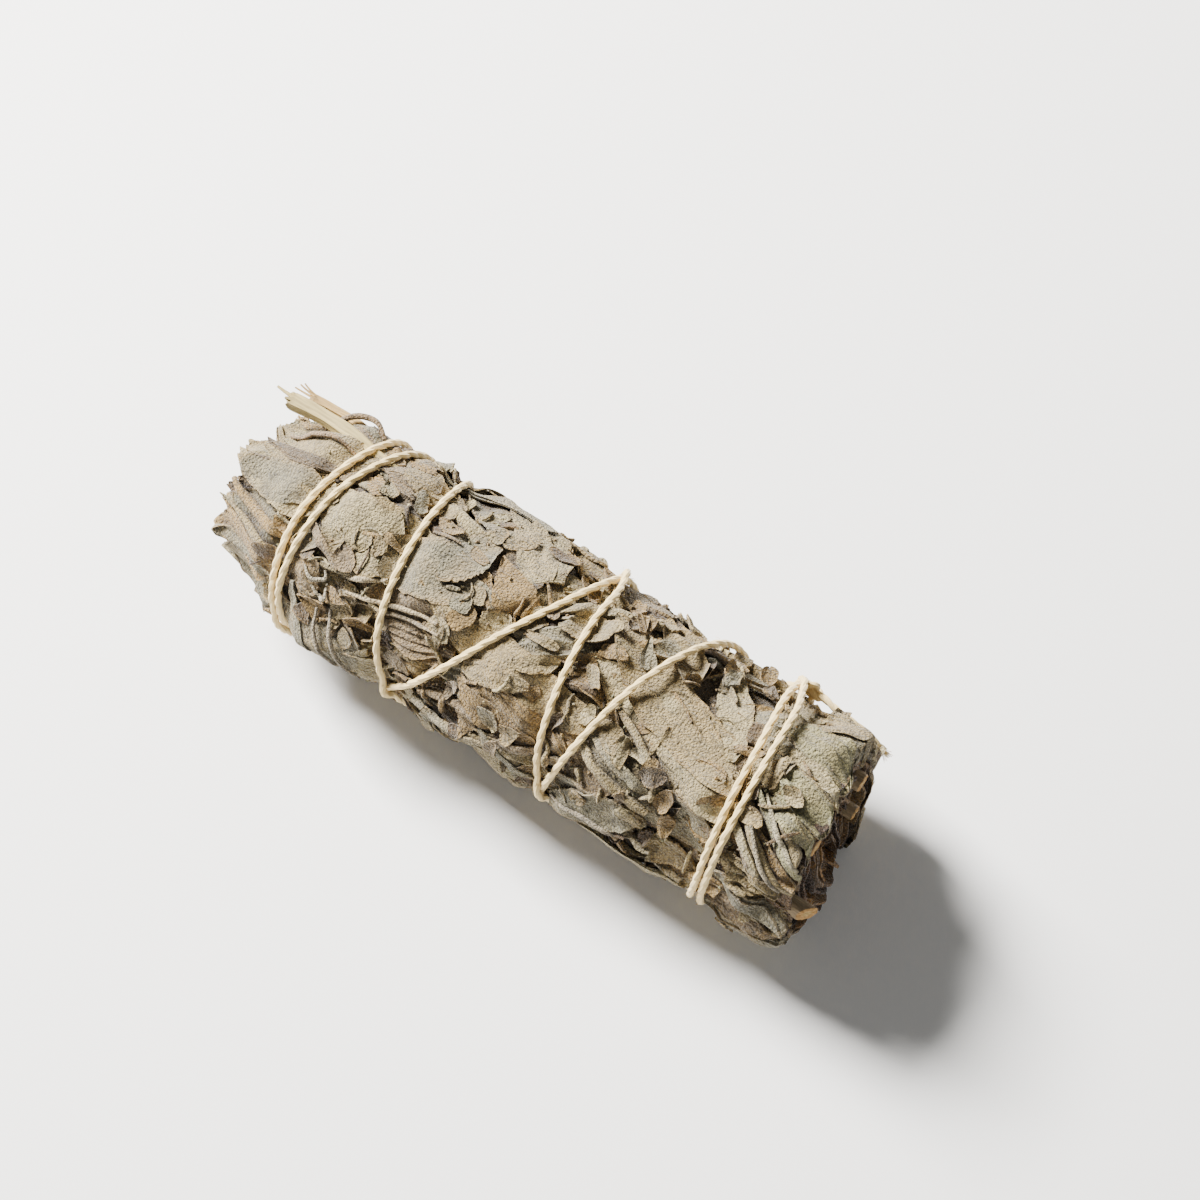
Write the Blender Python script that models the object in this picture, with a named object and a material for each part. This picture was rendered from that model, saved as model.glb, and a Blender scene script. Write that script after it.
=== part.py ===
"""A sage smudge stick: eight leafy sprigs of dried white sage, laid side by side, pressed into a
round bundle and bound with one cotton string. It lies along X, with the cut stems at +X and the
leaf tips at -X, and rests on z = 0. Lengths are in metres, angles round the bundle in degrees,
from +Y over the top (90) to -Y (180) and under (270)."""

import math
import random

import bmesh
import bpy
from mathutils import Matrix, Vector

# Driving dimensions
LENGTH = 0.102
RADIUS = 0.0165
TAPER = 0.012
STRING_DIAMETER = 0.0013
CLEARANCE = 0.00035
SPRIGS_ROUND = 7
LEAF_THICKNESS = 0.00065
FILLER_ROWS = 8
FILLER_COLUMNS = 10
SEED = 41

# Clean-up after the Booleans: weld distances to try in turn, and what counts as flat
WELDS = (0.00004, 0.00003, 0.00002, 0.00001, 0.000005, 0.000001)
FLAT_ANGLE = math.radians(0.6)

# Places that follow from them
STRING_RADIUS = STRING_DIAMETER / 2
CUT_END = LENGTH / 2
TIP_END = -LENGTH / 2
STRING_LIFT = STRING_RADIUS + CLEARANCE
STRING_FLOOR = STRING_RADIUS + 0.0001
LEAF_FLOOR = STRING_FLOOR + STRING_LIFT
SAG = 0.0010
SWELL = 0.0008
AXIS_HEIGHT = STRING_FLOOR + RADIUS + STRING_LIFT - SAG

# The pressed mass of each sprig, which its leaves stand out of
CORE_DEPTH = 0.0029
CORE_START = TIP_END + 0.0065
CORE_END = CUT_END - 0.0022
HEART_RADIUS = 0.0060
SPRIG_REACH = 0.0230
BOUNDARY_RADII = (0.0092, 0.0116)
BOUNDARY_SLANT = 26.0
BOUNDARY_WAVE = 7.0
FIRST_BOUNDARY = 270.0 - 180.0 / SPRIGS_ROUND
SPRIG_GAP = 0.0006

# Leaves read off the photographed side, as
# (root x mm, root angle, tip x mm, tip angle, width mm, depth of the leaf's middle mm)
SHOWN_LEAVES = (
    (39, 108, 7, 68, 9.0, 0.1),
    (34, 122, 9, 81, 9.0, 0.9),
    (14, 98, 27, 127, 4.5, 0.3),
    (39, 137, 14, 119, 9.5, 0.2),
    (21, 146, -2, 131, 8.0, 0.8),
    (28, 156, 10, 173, 7.0, 0.7),
    (39, 168, 27, 171, 7.5, 0.2),
    (12, 168, -4, 159, 6.0, 0.5),
    (36, 93, 24, 40, 6.5, 0.8),
    (30, 88, 26, 54, 5.0, 0.4),
    (22, 66, 11, 46, 6.0, 0.6),
    (38, 70, 53, 96, 6.5, 0.3),
    (38, 54, 55, 75, 5.5, 0.5),
    (38, 92, 52, 141, 3.6, 0.2),
    (39, 110, 50, 146, 3.8, 0.5),
    (41, 104, 55, 118, 5.5, 0.8),
    (38, 152, 51, 177, 7.0, 0.4),
    (39, 132, 53, 158, 6.0, 0.9),
    (-39, 106, -55, 87, 6.5, 0.2),
    (-41, 122, -51, 110, 6.0, 0.5),
    (-39, 101, -25, 100, 9.0, 0.4),
    (-25, 104, -6, 96, 7.5, 0.1),
    (4, 112, -18, 123, 6.5, 0.2),
    (-4, 100, -12, 73, 4.5, 0.5),
    (-12, 93, -19, 61, 6.5, 0.3),
    (-13, 66, -18, 37, 5.0, 0.7),
    (-4, 71, -13, 42, 4.5, 0.3),
    (-24, 74, -32, 50, 8.0, 0.5),
    (-26, 88, -38, 76, 6.0, 0.7),
    (-40, 143, -56, 135, 8.0, 0.3),
    (-38, 164, -54, 172, 8.0, 0.5),
    (-29, 172, -40, 145, 8.0, 0.6),
    (-19, 163, -29, 149, 7.0, 0.6),
    (5, 140, -9, 144, 7.0, 0.4),
    (-11, 138, -23, 133, 6.0, 0.8),
    (1, 174, -17, 172, 6.0, 0.6),
    (0, 157, -14, 161, 5.5, 0.3),
)

# The string's way round the bundle: (x mm, angle) where it crosses the top and the lower side.
# It starts and ends at the knot behind the cut end, runs to the tips and comes back across itself.
STRING_ROUTE = (
    (34.2, 8),
    (34.6, 45),
    (36.9, 100),
    (37.8, 180),
    (31.0, 285),
    (22.3, 385),
    (20.8, 405),
    (15.6, 462),
    (11.4, 522),
    (10.0, 545),
    (6.2, 650),
    (2.4, 762),
    (-0.4, 798),
    (-7.0, 840),
    (-14.6, 882),
    (-19.2, 905),
    (-28.0, 1000),
    (-35.2, 1108),
    (-37.2, 1146),
    (-39.4, 1180),
    (-40.2, 1230),
    (-39.6, 1262),
    (-39.2, 1360),
    (-39.3, 1480),
    (-42.0, 1545),
    (-42.0, 1575),
    (-40.6, 1622),
    (-33.6, 1720),
    (-26.6, 1820),
    (-24.6, 1890),
    (-22.4, 1942),
    (-18.6, 1986),
    (-8.0, 2090),
    (3.9, 2200),
    (5.3, 2242),
    (7.2, 2288),
    (10.2, 2338),
    (24.0, 2440),
    (36.6, 2565),
    (38.6, 2610),
    (39.4, 2660),
    (39.2, 2710),
    (36.6, 2820),
    (35.9, 2887),
)
STRING_STEP = 20.0
STRING_SIDES = 6
KNOT_X = 0.0351
KNOT_ANGLE = 8.0
KNOT_SIZE = (0.0024, 0.0019)
TAIL_LENGTH = 0.012

# Woody stems: (angle, distance from the axis mm, radius at the cut mm) for the sprigs round the
# heart, in their order, and then for the sprig at the heart
STEMS = (
    (272, 10.5, 1.5),
    (322, 10.8, 1.3),
    (13, 10.4, 1.6),
    (64, 10.6, 1.4),
    (116, 10.8, 1.7),
    (160, 13.3, 1.5),
    (219, 10.6, 1.4),
    (60, 1.2, 1.7),
)
STEM_START = -0.020
STEM_SIDES = 10

# Bare stalks bent back under the string at the tips: x and angle at each end, depth at each
# end, radius, all lengths in mm
STALKS = (
    ("stalk_1", (-33.5, 53), (-57.0, 52), (2.3, 0.7), 1.6),
    ("stalk_2", (-36.0, 36), (-58.0, 33), (2.1, 0.6), 1.1),
)
STALK_SIDES = 8

# Leaves pressed flat against the table: (x mm, y mm, length mm, width mm, turn)
FLAT_LEAVES = (
    (-18.8, 0.6, 11.4, 7.5, 8),
    (-1.8, -0.5, 11.8, 8.0, -8),
    (14.2, 0.3, 10.8, 7.5, 6),
    (44.0, -0.3, 10.0, 8.0, -5),
)

LEAF_COLOUR = (0.40, 0.36, 0.28, 1.0)
STEM_COLOUR = (0.45, 0.28, 0.11, 1.0)
STALK_COLOUR = (0.55, 0.46, 0.26, 1.0)
STRING_COLOUR = (0.76, 0.68, 0.50, 1.0)


def material(name, colour, roughness):
    made = bpy.data.materials.new(name)
    made.use_nodes = True
    surface = made.node_tree.nodes["Principled BSDF"]
    surface.inputs["Base Color"].default_value = colour
    surface.inputs["Roughness"].default_value = roughness
    surface.inputs["Metallic"].default_value = 0.0
    return made


def mesh_object(name, points, faces, finish=None):
    """One object from points and faces, with its faces turned outwards."""
    mesh = bpy.data.meshes.new(name)
    mesh.from_pydata([tuple(p) for p in points], [], faces)
    shape = bmesh.new()
    shape.from_mesh(mesh)
    bmesh.ops.recalc_face_normals(shape, faces=shape.faces)
    shape.to_mesh(mesh)
    shape.free()
    made = bpy.data.objects.new(name, mesh)
    bpy.context.scene.collection.objects.link(made)
    if finish:
        mesh.materials.append(finish)
    return made


def smooth(t):
    t = min(1.0, max(0.0, t))
    return t * t * (3 - 2 * t)


def girth(x):
    """The bundle's radius at x: a little more at the cut end, and drawn in over the last tips."""
    drawn_in = 1 - smooth((x - TIP_END + 0.006) / 0.018)
    return RADIUS + TAPER * x - 0.0050 * drawn_in


def place(x, angle, depth, floor=LEAF_FLOOR):
    """A point of the bundle, depth under its outer surface, which the table flattens below."""
    reach = girth(x) - depth
    y = reach * math.cos(math.radians(angle))
    z = AXIS_HEIGHT + reach * math.sin(math.radians(angle))
    return Vector((x, y, max(z, floor + depth)))


def swell(x, angle):
    """How far the leaves stand out over the outer surface, away from the string."""
    nearest = 1.0
    for string_x, string_angle in smooth_route(STRING_ROUTE, STRING_STEP):
        turned = (string_angle - angle + 180) % 360 - 180
        away = math.hypot(string_x - x, RADIUS * math.radians(turned))
        nearest = min(nearest, away)
    return SWELL * smooth((nearest - 0.0045) / 0.0040)


def tube(rings, sides):
    """Points and faces of a closed tube through rings of (centre, direction, radius)."""
    points = []
    faces = []
    side = None
    for centre, direction, radius in rings:
        direction = direction.normalized()
        outward = Vector((0, centre.y, centre.z - AXIS_HEIGHT))
        if outward.length < 1e-4 or side is not None:
            outward = side
        side = (outward - direction * outward.dot(direction)).normalized()
        across = direction.cross(side)
        for i in range(sides):
            turn = 2 * math.pi * (i + 0.5) / sides
            points.append(centre + radius * (math.cos(turn) * side + math.sin(turn) * across))
    for ring in range(len(rings) - 1):
        for i in range(sides):
            low = ring * sides + i
            next_low = ring * sides + (i + 1) % sides
            faces.append((low, next_low, next_low + sides, low + sides))
    faces.append(tuple(reversed(range(sides))))
    faces.append(tuple(range(len(points) - sides, len(points))))
    return points, faces


def directions(centres):
    last = len(centres) - 1
    return [centres[min(i + 1, last)] - centres[max(i - 1, 0)] for i in range(len(centres))]


def smooth_route(marks, step):
    """(x, angle) every step degrees on a smooth curve through marks of (x mm, angle)."""
    slopes = []
    for i in range(len(marks)):
        low = marks[max(i - 1, 0)]
        high = marks[min(i + 1, len(marks) - 1)]
        slopes.append((high[0] - low[0]) / (high[1] - low[1]))
    count = round((marks[-1][1] - marks[0][1]) / step)
    route = []
    piece = 0
    for i in range(count + 1):
        angle = marks[0][1] + (marks[-1][1] - marks[0][1]) * i / count
        while piece < len(marks) - 2 and angle > marks[piece + 1][1]:
            piece += 1
        (x0, a0), (x1, a1) = marks[piece], marks[piece + 1]
        span = a1 - a0
        t = (angle - a0) / span
        x = (
            (2 * t**3 - 3 * t**2 + 1) * x0
            + (t**3 - 2 * t**2 + t) * span * slopes[piece]
            + (3 * t**2 - 2 * t**3) * x1
            + (t**3 - t**2) * span * slopes[piece + 1]
        )
        route.append((x / 1000, angle))
    return route


def crossing_lifts(route):
    """How far each point of the route stands off the bundle to pass over the turns under it."""
    flat = [Vector((x, RADIUS * math.radians(angle))) for x, angle in route]
    turn = 2 * math.pi * RADIUS
    lifts = [0.0] * len(route)
    for i in range(len(flat) - 1):
        for j in range(i):
            turns = round((flat[i].y - flat[j].y) / turn)
            if turns == 0:
                continue
            shift = Vector((0, turns * turn))
            a, b = flat[i], flat[i + 1]
            c, d = flat[j] + shift, flat[j + 1] + shift
            along, under = b - a, d - c
            area = along.x * under.y - along.y * under.x
            if abs(area) < 1e-12:
                continue
            t = ((c.x - a.x) * under.y - (c.y - a.y) * under.x) / area
            s = ((c.x - a.x) * along.y - (c.y - a.y) * along.x) / area
            if not (0 <= t < 1 and 0 <= s < 1):
                continue
            slant = abs(area) / (along.length * under.length)
            at = a + along * t
            for k in range(len(flat)):
                if abs(flat[k].y - at.y) > turn / 2:
                    continue
                away = (flat[k] - at).length * slant
                rise = 1 - smooth((away - 0.0016) / 0.0030)
                lifts[k] = max(lifts[k], rise * (STRING_DIAMETER + CLEARANCE))
    return lifts


def string_centres():
    """The middle line of the string: far points where it lies plain, near ones at crossings."""
    route = smooth_route(STRING_ROUTE, STRING_STEP / 3)
    lifts = crossing_lifts(route)
    centres = []
    for i, (x, angle) in enumerate(route):
        near = lifts[max(i - 1, 0) : i + 2]
        if i % 3 and i < len(route) - 1 and max(near) - min(near) < 0.0002:
            continue
        depth = -(STRING_LIFT + lifts[i])
        centres.append(place(x, angle, depth, STRING_FLOOR - depth))
    return centres


def boundary_angle(index, x, radius):
    """Where sprig index begins: it wanders along the bundle and leans over its neighbour."""
    wander = BOUNDARY_WAVE * math.sin(2 * math.pi * x / 0.075 + 1.9 * index)
    lean = BOUNDARY_SLANT * (radius - HEART_RADIUS) / (RADIUS - HEART_RADIUS)
    first = FIRST_BOUNDARY - 0.6 * BOUNDARY_SLANT
    return first + 360.0 * index / SPRIGS_ROUND + wander + lean


def sprig_outline(index, x, inner, outer, widen):
    """(y, z) points round one sprig's share of the bundle at x, made wider by an arc's length."""
    heights = (inner, *BOUNDARY_RADII, outer)
    sides = []
    for side, sign in ((index, -1), (index + 1, 1)):
        sides.append(
            [
                (r, boundary_angle(side % SPRIGS_ROUND, x, r) + sign * math.degrees(widen / r))
                for r in heights
            ]
        )
    near, far = sides
    if index + 1 == SPRIGS_ROUND:
        far = [(r, a + 360) for r, a in far]
    outline = list(near)
    for share in (0.25, 0.5, 0.75):
        outline.append((outer, near[-1][1] + share * (far[-1][1] - near[-1][1])))
    outline += reversed(far)
    outline.append((inner, (near[0][1] + far[0][1]) / 2))
    return outline


def swept(outlines, turned_from=None):
    """Points and faces of a closed solid through outlines of equal length. From turned_from on,
    the squares are split the other way, so that two facing walls are split alike."""
    points = [p for outline in outlines for p in outline]
    count = len(outlines[0])
    turned_from = count if turned_from is None else turned_from
    faces = []
    for ring in range(len(outlines) - 1):
        for i in range(count):
            low = ring * count + i
            next_low = ring * count + (i + 1) % count
            if i < turned_from:
                faces.append((low, next_low, next_low + count))
                faces.append((low, next_low + count, low + count))
            else:
                faces.append((low, next_low, low + count))
                faces.append((next_low, next_low + count, low + count))
    faces.append(tuple(reversed(range(count))))
    faces.append(tuple(range(len(points) - count, len(points))))
    return points, faces


def steps(start, end, count):
    return [start + (end - start) * i / (count - 1) for i in range(count)]


def sprig_share(index):
    """The space that one sprig round the heart may fill, cut square at the stems."""
    outlines = []
    for x in steps(TIP_END - 0.012, CUT_END, 13):
        ring = []
        inner = HEART_RADIUS + CLEARANCE / 2
        for radius, angle in sprig_outline(index, x, inner, SPRIG_REACH, -SPRIG_GAP / 2):
            y = radius * math.cos(math.radians(angle))
            z = AXIS_HEIGHT + radius * math.sin(math.radians(angle))
            ring.append(Vector((x, y, z)))
        outlines.append(ring)
    return swept(outlines, turned_from=7)


def sprig_core(index, rng):
    """The leaves pressed together inside the sprig, past its share on both sides."""
    outlines = []
    outer = RADIUS - CORE_DEPTH
    for x in steps(CORE_START, CORE_END, 9):
        ring = []
        for radius, angle in sprig_outline(index, x, HEART_RADIUS - 0.001, outer, 0.0009):
            deep = girth(x) - radius * (girth(x) / RADIUS) + rng.uniform(0, 0.0003)
            ring.append(place(x, angle, deep))
        outlines.append(ring)
    return swept(outlines)


def round_share(radius, start, end):
    ring = []
    for i in range(14):
        turn = 2 * math.pi * i / 14
        ring.append((radius * math.cos(turn), AXIS_HEIGHT + radius * math.sin(turn)))
    return swept([[Vector((x, y, z)) for y, z in ring] for x in steps(start, end, 3)])


def leaf(root, tip, width, middle_depth, rng, root_depth=CORE_DEPTH + 0.0011):
    """A lance-shaped blade from its sunk root to its tip. root and tip are (x, angle)."""
    girth_here = girth((root[0] + tip[0]) / 2)
    start = Vector((root[0], girth_here * math.radians(root[1])))
    end = Vector((tip[0], girth_here * math.radians(tip[1])))
    along = end - start
    across = Vector((-along.y, along.x)).normalized()
    lean = rng.uniform(-0.00030, 0.00030)
    rib = rng.uniform(0.00005, 0.00030)
    bow = rng.uniform(-0.08, 0.08) * along.length
    stations = (
        (0.0, 0.0, root_depth),
        (0.34, 0.96, middle_depth + 0.0006),
        (0.70, 0.80, middle_depth + 0.0001),
        (1.0, 0.0, max(0.0, middle_depth - 0.0003)),
    )
    outer = []
    inner = []
    for share, spread, depth in stations:
        centre = start + along * share + across * bow * math.sin(math.pi * share)
        sides = (0,) if spread == 0 else (-1, 0, 1)
        for side in sides:
            at = centre + across * (side * spread * width / 2)
            deep = depth + side * lean + (rib if side == 0 and spread else 0.0)
            deep = max(deep, 0.0)
            angle = math.degrees(at.y / girth_here)
            if 0 < share < 1:
                deep -= swell(at.x, angle)
            outer.append(place(at.x, angle, deep))
            inner.append(place(at.x, angle, deep + LEAF_THICKNESS))
    return blade(outer, inner)


def blade(outer, inner):
    """A closed blade from eight outer and eight inner points: root, 3 and 3 across, tip."""
    split = (
        (0, 1, 2),
        (0, 2, 3),
        (1, 4, 5),
        (1, 5, 2),
        (2, 5, 6),
        (2, 6, 3),
        (4, 7, 5),
        (5, 7, 6),
    )
    rim = (0, 1, 4, 7, 6, 3)
    faces = list(split)
    faces += [tuple(8 + i for i in reversed(triangle)) for triangle in split]
    for i, a in enumerate(rim):
        b = rim[(i + 1) % len(rim)]
        faces.append((a, 8 + a, 8 + b))
        faces.append((a, 8 + b, b))
    return outer + inner, faces


def flat_leaf(x, y, length, width, turn):
    """A leaf under the bundle, its outer face on the table and its root and rim bent up."""
    middle = Vector((x, y, 0)) / 1000
    heading = Vector((math.cos(math.radians(turn)), math.sin(math.radians(turn)), 0))
    across = Vector((-heading.y, heading.x, 0))
    outer = []
    for share, spread, rise in ((0, 0, 0.0064), (0.36, 1, 0), (0.78, 0.85, 0), (1, 0, 0.0006)):
        centre = middle + heading * ((share - 0.5) * length / 1000) + Vector((0, 0, rise))
        sides = (0,) if spread == 0 else (-1, 0, 1)
        for side in sides:
            outer.append(centre + across * (side * spread * width / 2000))
    inner = [p + Vector((0, 0, 2 * LEAF_THICKNESS if p.z else LEAF_THICKNESS)) for p in outer]
    return blade(outer, inner)


def tip_petal(ring, turn, length, width, reach_out):
    """A leaf tip that stands out of the bundle's end, ring metres from the axis."""
    outer = []
    inner = []
    out = Vector((0, math.cos(math.radians(turn)), math.sin(math.radians(turn))))
    across = Vector((0, -out.z, out.y))
    for share, spread in ((0, 0), (0.40, 1), (0.76, 0.8), (1, 0)):
        x = CORE_START + 0.004 - length * share
        away = ring + reach_out * math.sin(2.2 * share)
        centre = Vector((x, 0, AXIS_HEIGHT)) + out * away
        sides = (0,) if spread == 0 else (-1, 0, 1)
        for side in sides:
            curl = out * (-0.16 * width * spread * abs(side))
            point = centre + across * (side * spread * width / 2) + curl
            point.z = max(point.z, LEAF_FLOOR)
            outer.append(point)
            inner.append(point - out * (LEAF_THICKNESS + 0.0001))
    return blade(outer, inner)


def cut_layer(centre, ring, start_turn, sweep):
    """The cut edge of a folded leaf, standing in an arc round the stem at the cut end."""
    outlines = []
    for turn in steps(start_turn, start_turn + sweep, 4):
        out = Vector((0, math.cos(math.radians(turn)), math.sin(math.radians(turn))))
        low = centre + out * ring
        high = centre + out * (ring + LEAF_THICKNESS + 0.00005)
        deep = Vector((CORE_END - 0.0015, 0, 0))
        cut = Vector((CUT_END + 0.002, 0, 0))
        outlines.append([low + deep, high + deep, high + cut, low + cut])
    return swept(outlines)


def stem_axis(index):
    angle, away, _ = STEMS[index]
    y = away / 1000 * math.cos(math.radians(angle))
    z = AXIS_HEIGHT + away / 1000 * math.sin(math.radians(angle))
    return Vector((0, y, z))


def stem_shape(index, extra=0.0):
    """The woody stem, thinner towards the tips, cut just past the leaves. extra fattens it."""
    centre = stem_axis(index)
    radius = STEMS[index][2] / 1000
    stand_out = 0.0006 + 0.0004 * (index % 3)
    rings = []
    for x, share in ((STEM_START, 0.55), (0.005, 0.75), (0.030, 0.9), (CUT_END + stand_out, 1.0)):
        end = extra if x == STEM_START else 0.0
        middle = centre + Vector((x - end + (extra * 4 if share == 1.0 else 0.0), 0, 0))
        rings.append((middle, Vector((1, 0, 0)), radius * share + extra))
    return tube(rings, STEM_SIDES)


def stalk_shape(root, tip, depths, radius, extra=0.0):
    """A bare stalk from under the string to past the tips, a little bent. extra fattens it."""
    centres = []
    for share in steps(0.0, 1.0, 5):
        x = (root[0] + share * (tip[0] - root[0])) / 1000
        angle = root[1] + share * (tip[1] - root[1])
        depth = (depths[0] + share * (depths[1] - depths[0])) / 1000
        away = RADIUS + TAPER * x - depth + 0.0006 * math.sin(math.pi * share)
        y = away * math.cos(math.radians(angle))
        z = AXIS_HEIGHT + away * math.sin(math.radians(angle))
        centres.append(Vector((x, y, z)))
    if extra:
        centres[0] += (centres[0] - centres[1]).normalized() * extra
        centres[-1] += (centres[-1] - centres[-2]).normalized() * 0.01
    ways = directions(centres)
    width = [0.85, 0.95, 1.0, 0.96, 0.9]
    rings = [(c, w, radius / 1000 * s + extra) for c, w, s in zip(centres, ways, width)]
    return tube(rings, STALK_SIDES)


def filler_leaves(rng):
    """Leaves on every side, on a loose lattice, most of them pointing to the tips. Where the
    listed leaves lie, only every third one is kept."""
    leaves = []
    for row in range(FILLER_ROWS):
        for column in range(FILLER_COLUMNS):
            x = -0.037 + 0.0750 * row / (FILLER_ROWS - 1) + rng.uniform(-0.002, 0.002)
            angle = 360 / FILLER_COLUMNS * (column + 0.5 * (row % 2)) + rng.uniform(-6, 6)
            length = rng.uniform(0.019, 0.027)
            width = rng.uniform(7.5, 10.5) / 1000
            heading = math.radians(rng.gauss(0, 22))
            depth = rng.uniform(0.0002, 0.0009)
            if 55 < angle < 172:
                depth += 0.0006
                if (row + column) % 3:
                    continue
            toward = 1 if row >= FILLER_ROWS - 2 else -1
            reach = toward * length * math.cos(heading)
            turn = math.degrees(length * math.sin(heading) / RADIUS)
            tip_x = max(x + reach, TIP_END - 0.003)
            leaves.append(((x, angle), (tip_x, angle + turn), width, depth))
    return leaves


def rooted_in(x, angle):
    """The sprig round the heart that a root at x and angle grows from."""
    radius = RADIUS - CORE_DEPTH - 0.001
    for index in range(SPRIGS_ROUND):
        begin = boundary_angle(index, x, radius)
        end = boundary_angle((index + 1) % SPRIGS_ROUND, x, radius)
        if (angle - begin) % 360 < (end - begin) % 360:
            return index
    return 0


def largest_body(shape):
    """Drops loose scraps, so that the shape is the one body that holds together."""
    left = set(shape.verts)
    bodies = []
    while left:
        body = set()
        edge = [left.pop()]
        while edge:
            vertex = edge.pop()
            body.add(vertex)
            for link in vertex.link_edges:
                other = link.other_vert(vertex)
                if other in left:
                    left.discard(other)
                    edge.append(other)
        bodies.append(body)
    bodies.sort(key=len)
    loose = [vertex for body in bodies[:-1] for vertex in body]
    bmesh.ops.delete(shape, geom=loose, context="VERTS")


def clean(made):
    """One closed body in triangles, with its close points welded as far as it stays closed.
    False if it can't be closed."""
    for flat_angle in (FLAT_ANGLE, 0.0):
        for weld in WELDS:
            shape = bmesh.new()
            shape.from_mesh(made.data)
            largest_body(shape)
            if flat_angle:
                bmesh.ops.dissolve_limit(
                    shape, angle_limit=flat_angle, verts=shape.verts, edges=shape.edges
                )
            bmesh.ops.triangulate(shape, faces=shape.faces)
            bmesh.ops.remove_doubles(shape, verts=shape.verts, dist=weld)
            bmesh.ops.dissolve_degenerate(shape, dist=weld, edges=shape.edges)
            bmesh.ops.triangulate(shape, faces=shape.faces)
            closed = all(len(edge.link_faces) == 2 for edge in shape.edges)
            if closed:
                shape.to_mesh(made.data)
            shape.free()
            if closed:
                return True
    return False


def combine(made, operation, shapes, solver="MANIFOLD"):
    """One Boolean of made with a collection of shapes, applied, and the shapes removed."""
    group = bpy.data.collections.new("joined")
    bpy.context.scene.collection.children.link(group)
    for points, faces in shapes:
        part = mesh_object("piece", points, faces)
        bpy.context.scene.collection.objects.unlink(part)
        group.objects.link(part)
    change = made.modifiers.new("combine", "BOOLEAN")
    change.operation = operation
    change.operand_type = "COLLECTION"
    change.collection = group
    change.solver = solver
    graph = bpy.context.evaluated_depsgraph_get()
    graph.update()
    result = bpy.data.meshes.new_from_object(made.evaluated_get(graph))
    made.modifiers.clear()
    made.data = result
    for part in list(group.objects):
        bpy.data.objects.remove(part)
    bpy.data.collections.remove(group)


def end_pieces(index, rng):
    """The leaf tips at one end and the cut leaf edges at the other, for one sprig."""
    pieces = []
    if index == SPRIGS_ROUND:
        for ring, count in ((0.0012, 2), (0.0036, 4)):
            for i in range(count):
                turn = 360 / count * i + rng.uniform(-20, 20)
                length = rng.uniform(0.008, 0.011)
                pieces.append(tip_petal(ring, turn, length, 0.0048, 0.0006))
        layers = ((2.6, 40, 150), (2.9, 230, 130), (4.0, -20, 140), (4.2, 150, 150))
    else:
        middle = FIRST_BOUNDARY + 360.0 * (index + 0.5) / SPRIGS_ROUND
        for ring in (0.0078, 0.0104, 0.0126):
            turn = middle + rng.uniform(-9, 9)
            length = rng.uniform(0.0085, 0.0115)
            pieces.append(tip_petal(ring, turn, length, 0.0075, -0.0006))
        face = math.degrees(math.atan2(stem_axis(index).z - AXIS_HEIGHT, stem_axis(index).y))
        layers = (
            (2.3, face - 70 + rng.uniform(-15, 15), 140),
            (2.5, face + 110 + rng.uniform(-15, 15), 130),
            (3.7, face - 60 + rng.uniform(-15, 15), 120),
            (3.9, face + 120 + rng.uniform(-15, 15), 100),
        )
    for ring, start, sweep in layers:
        pieces.append(cut_layer(stem_axis(index), ring / 1000, start, sweep))
    return pieces


def make_sprigs(leaf_finish, stem_finish):
    rng = random.Random(SEED)
    blades = [[] for _ in range(SPRIGS_ROUND)]
    for root_x, root_angle, tip_x, tip_angle, width, depth in SHOWN_LEAVES:
        shape = leaf(
            (root_x / 1000, root_angle),
            (tip_x / 1000, tip_angle),
            width / 1000,
            depth / 1000,
            rng,
        )
        blades[rooted_in(root_x / 1000, root_angle)].append(shape)
    for root, tip, width, depth in filler_leaves(rng):
        blades[rooted_in(*root)].append(leaf(root, tip, width, depth, rng))
    for spot in FLAT_LEAVES:
        blades[rooted_in(spot[0] / 1000, 270)].append(flat_leaf(*spot))
    for index in range(SPRIGS_ROUND + 1):
        name = f"sprig_{index + 1}"
        if index < SPRIGS_ROUND:
            points, faces = sprig_core(index, rng)
            share = sprig_share(index)
            parts = blades[index]
        else:
            points, faces = round_share(HEART_RADIUS + 0.001, CORE_START, CORE_END)
            share = round_share(HEART_RADIUS - CLEARANCE / 2, TIP_END - 0.012, CUT_END)
            parts = []
        pieces = parts + end_pieces(index, rng)
        cuts = [stem_shape(index, CLEARANCE)]
        cuts += [stalk_shape(*stalk[1:], extra=CLEARANCE) for stalk in STALKS]
        for solver in ("MANIFOLD", "EXACT"):
            sprig = mesh_object(name + "_leaves", points, faces, leaf_finish)
            combine(sprig, "UNION", pieces, solver)
            combine(sprig, "INTERSECT", [share], solver)
            combine(sprig, "DIFFERENCE", cuts, solver)
            if clean(sprig):
                break
            bpy.data.objects.remove(sprig)
        points, faces = stem_shape(index)
        stem = mesh_object(name + "_stem", points, faces, stem_finish)
        stem.data.shade_smooth()
        stem.data.set_sharp_from_angle(angle=math.radians(40))


def make_stalks(finish):
    for name, root, tip, depths, radius in STALKS:
        points, faces = stalk_shape(root, tip, depths, radius)
        stalk = mesh_object(name, points, faces, finish)
        stalk.data.shade_smooth()
        stalk.data.set_sharp_from_angle(angle=math.radians(40))


def knot_frame():
    """The knot's place on the bundle, as a matrix with X along it and Z away from it."""
    centre = place(KNOT_X, KNOT_ANGLE, -(STRING_LIFT + STRING_DIAMETER * 0.75))
    away = Vector((0, math.cos(math.radians(KNOT_ANGLE)), math.sin(math.radians(KNOT_ANGLE))))
    along = Vector((1, 0, 0))
    turn = Matrix((along, away.cross(along), away)).transposed()
    return centre, turn


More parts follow.
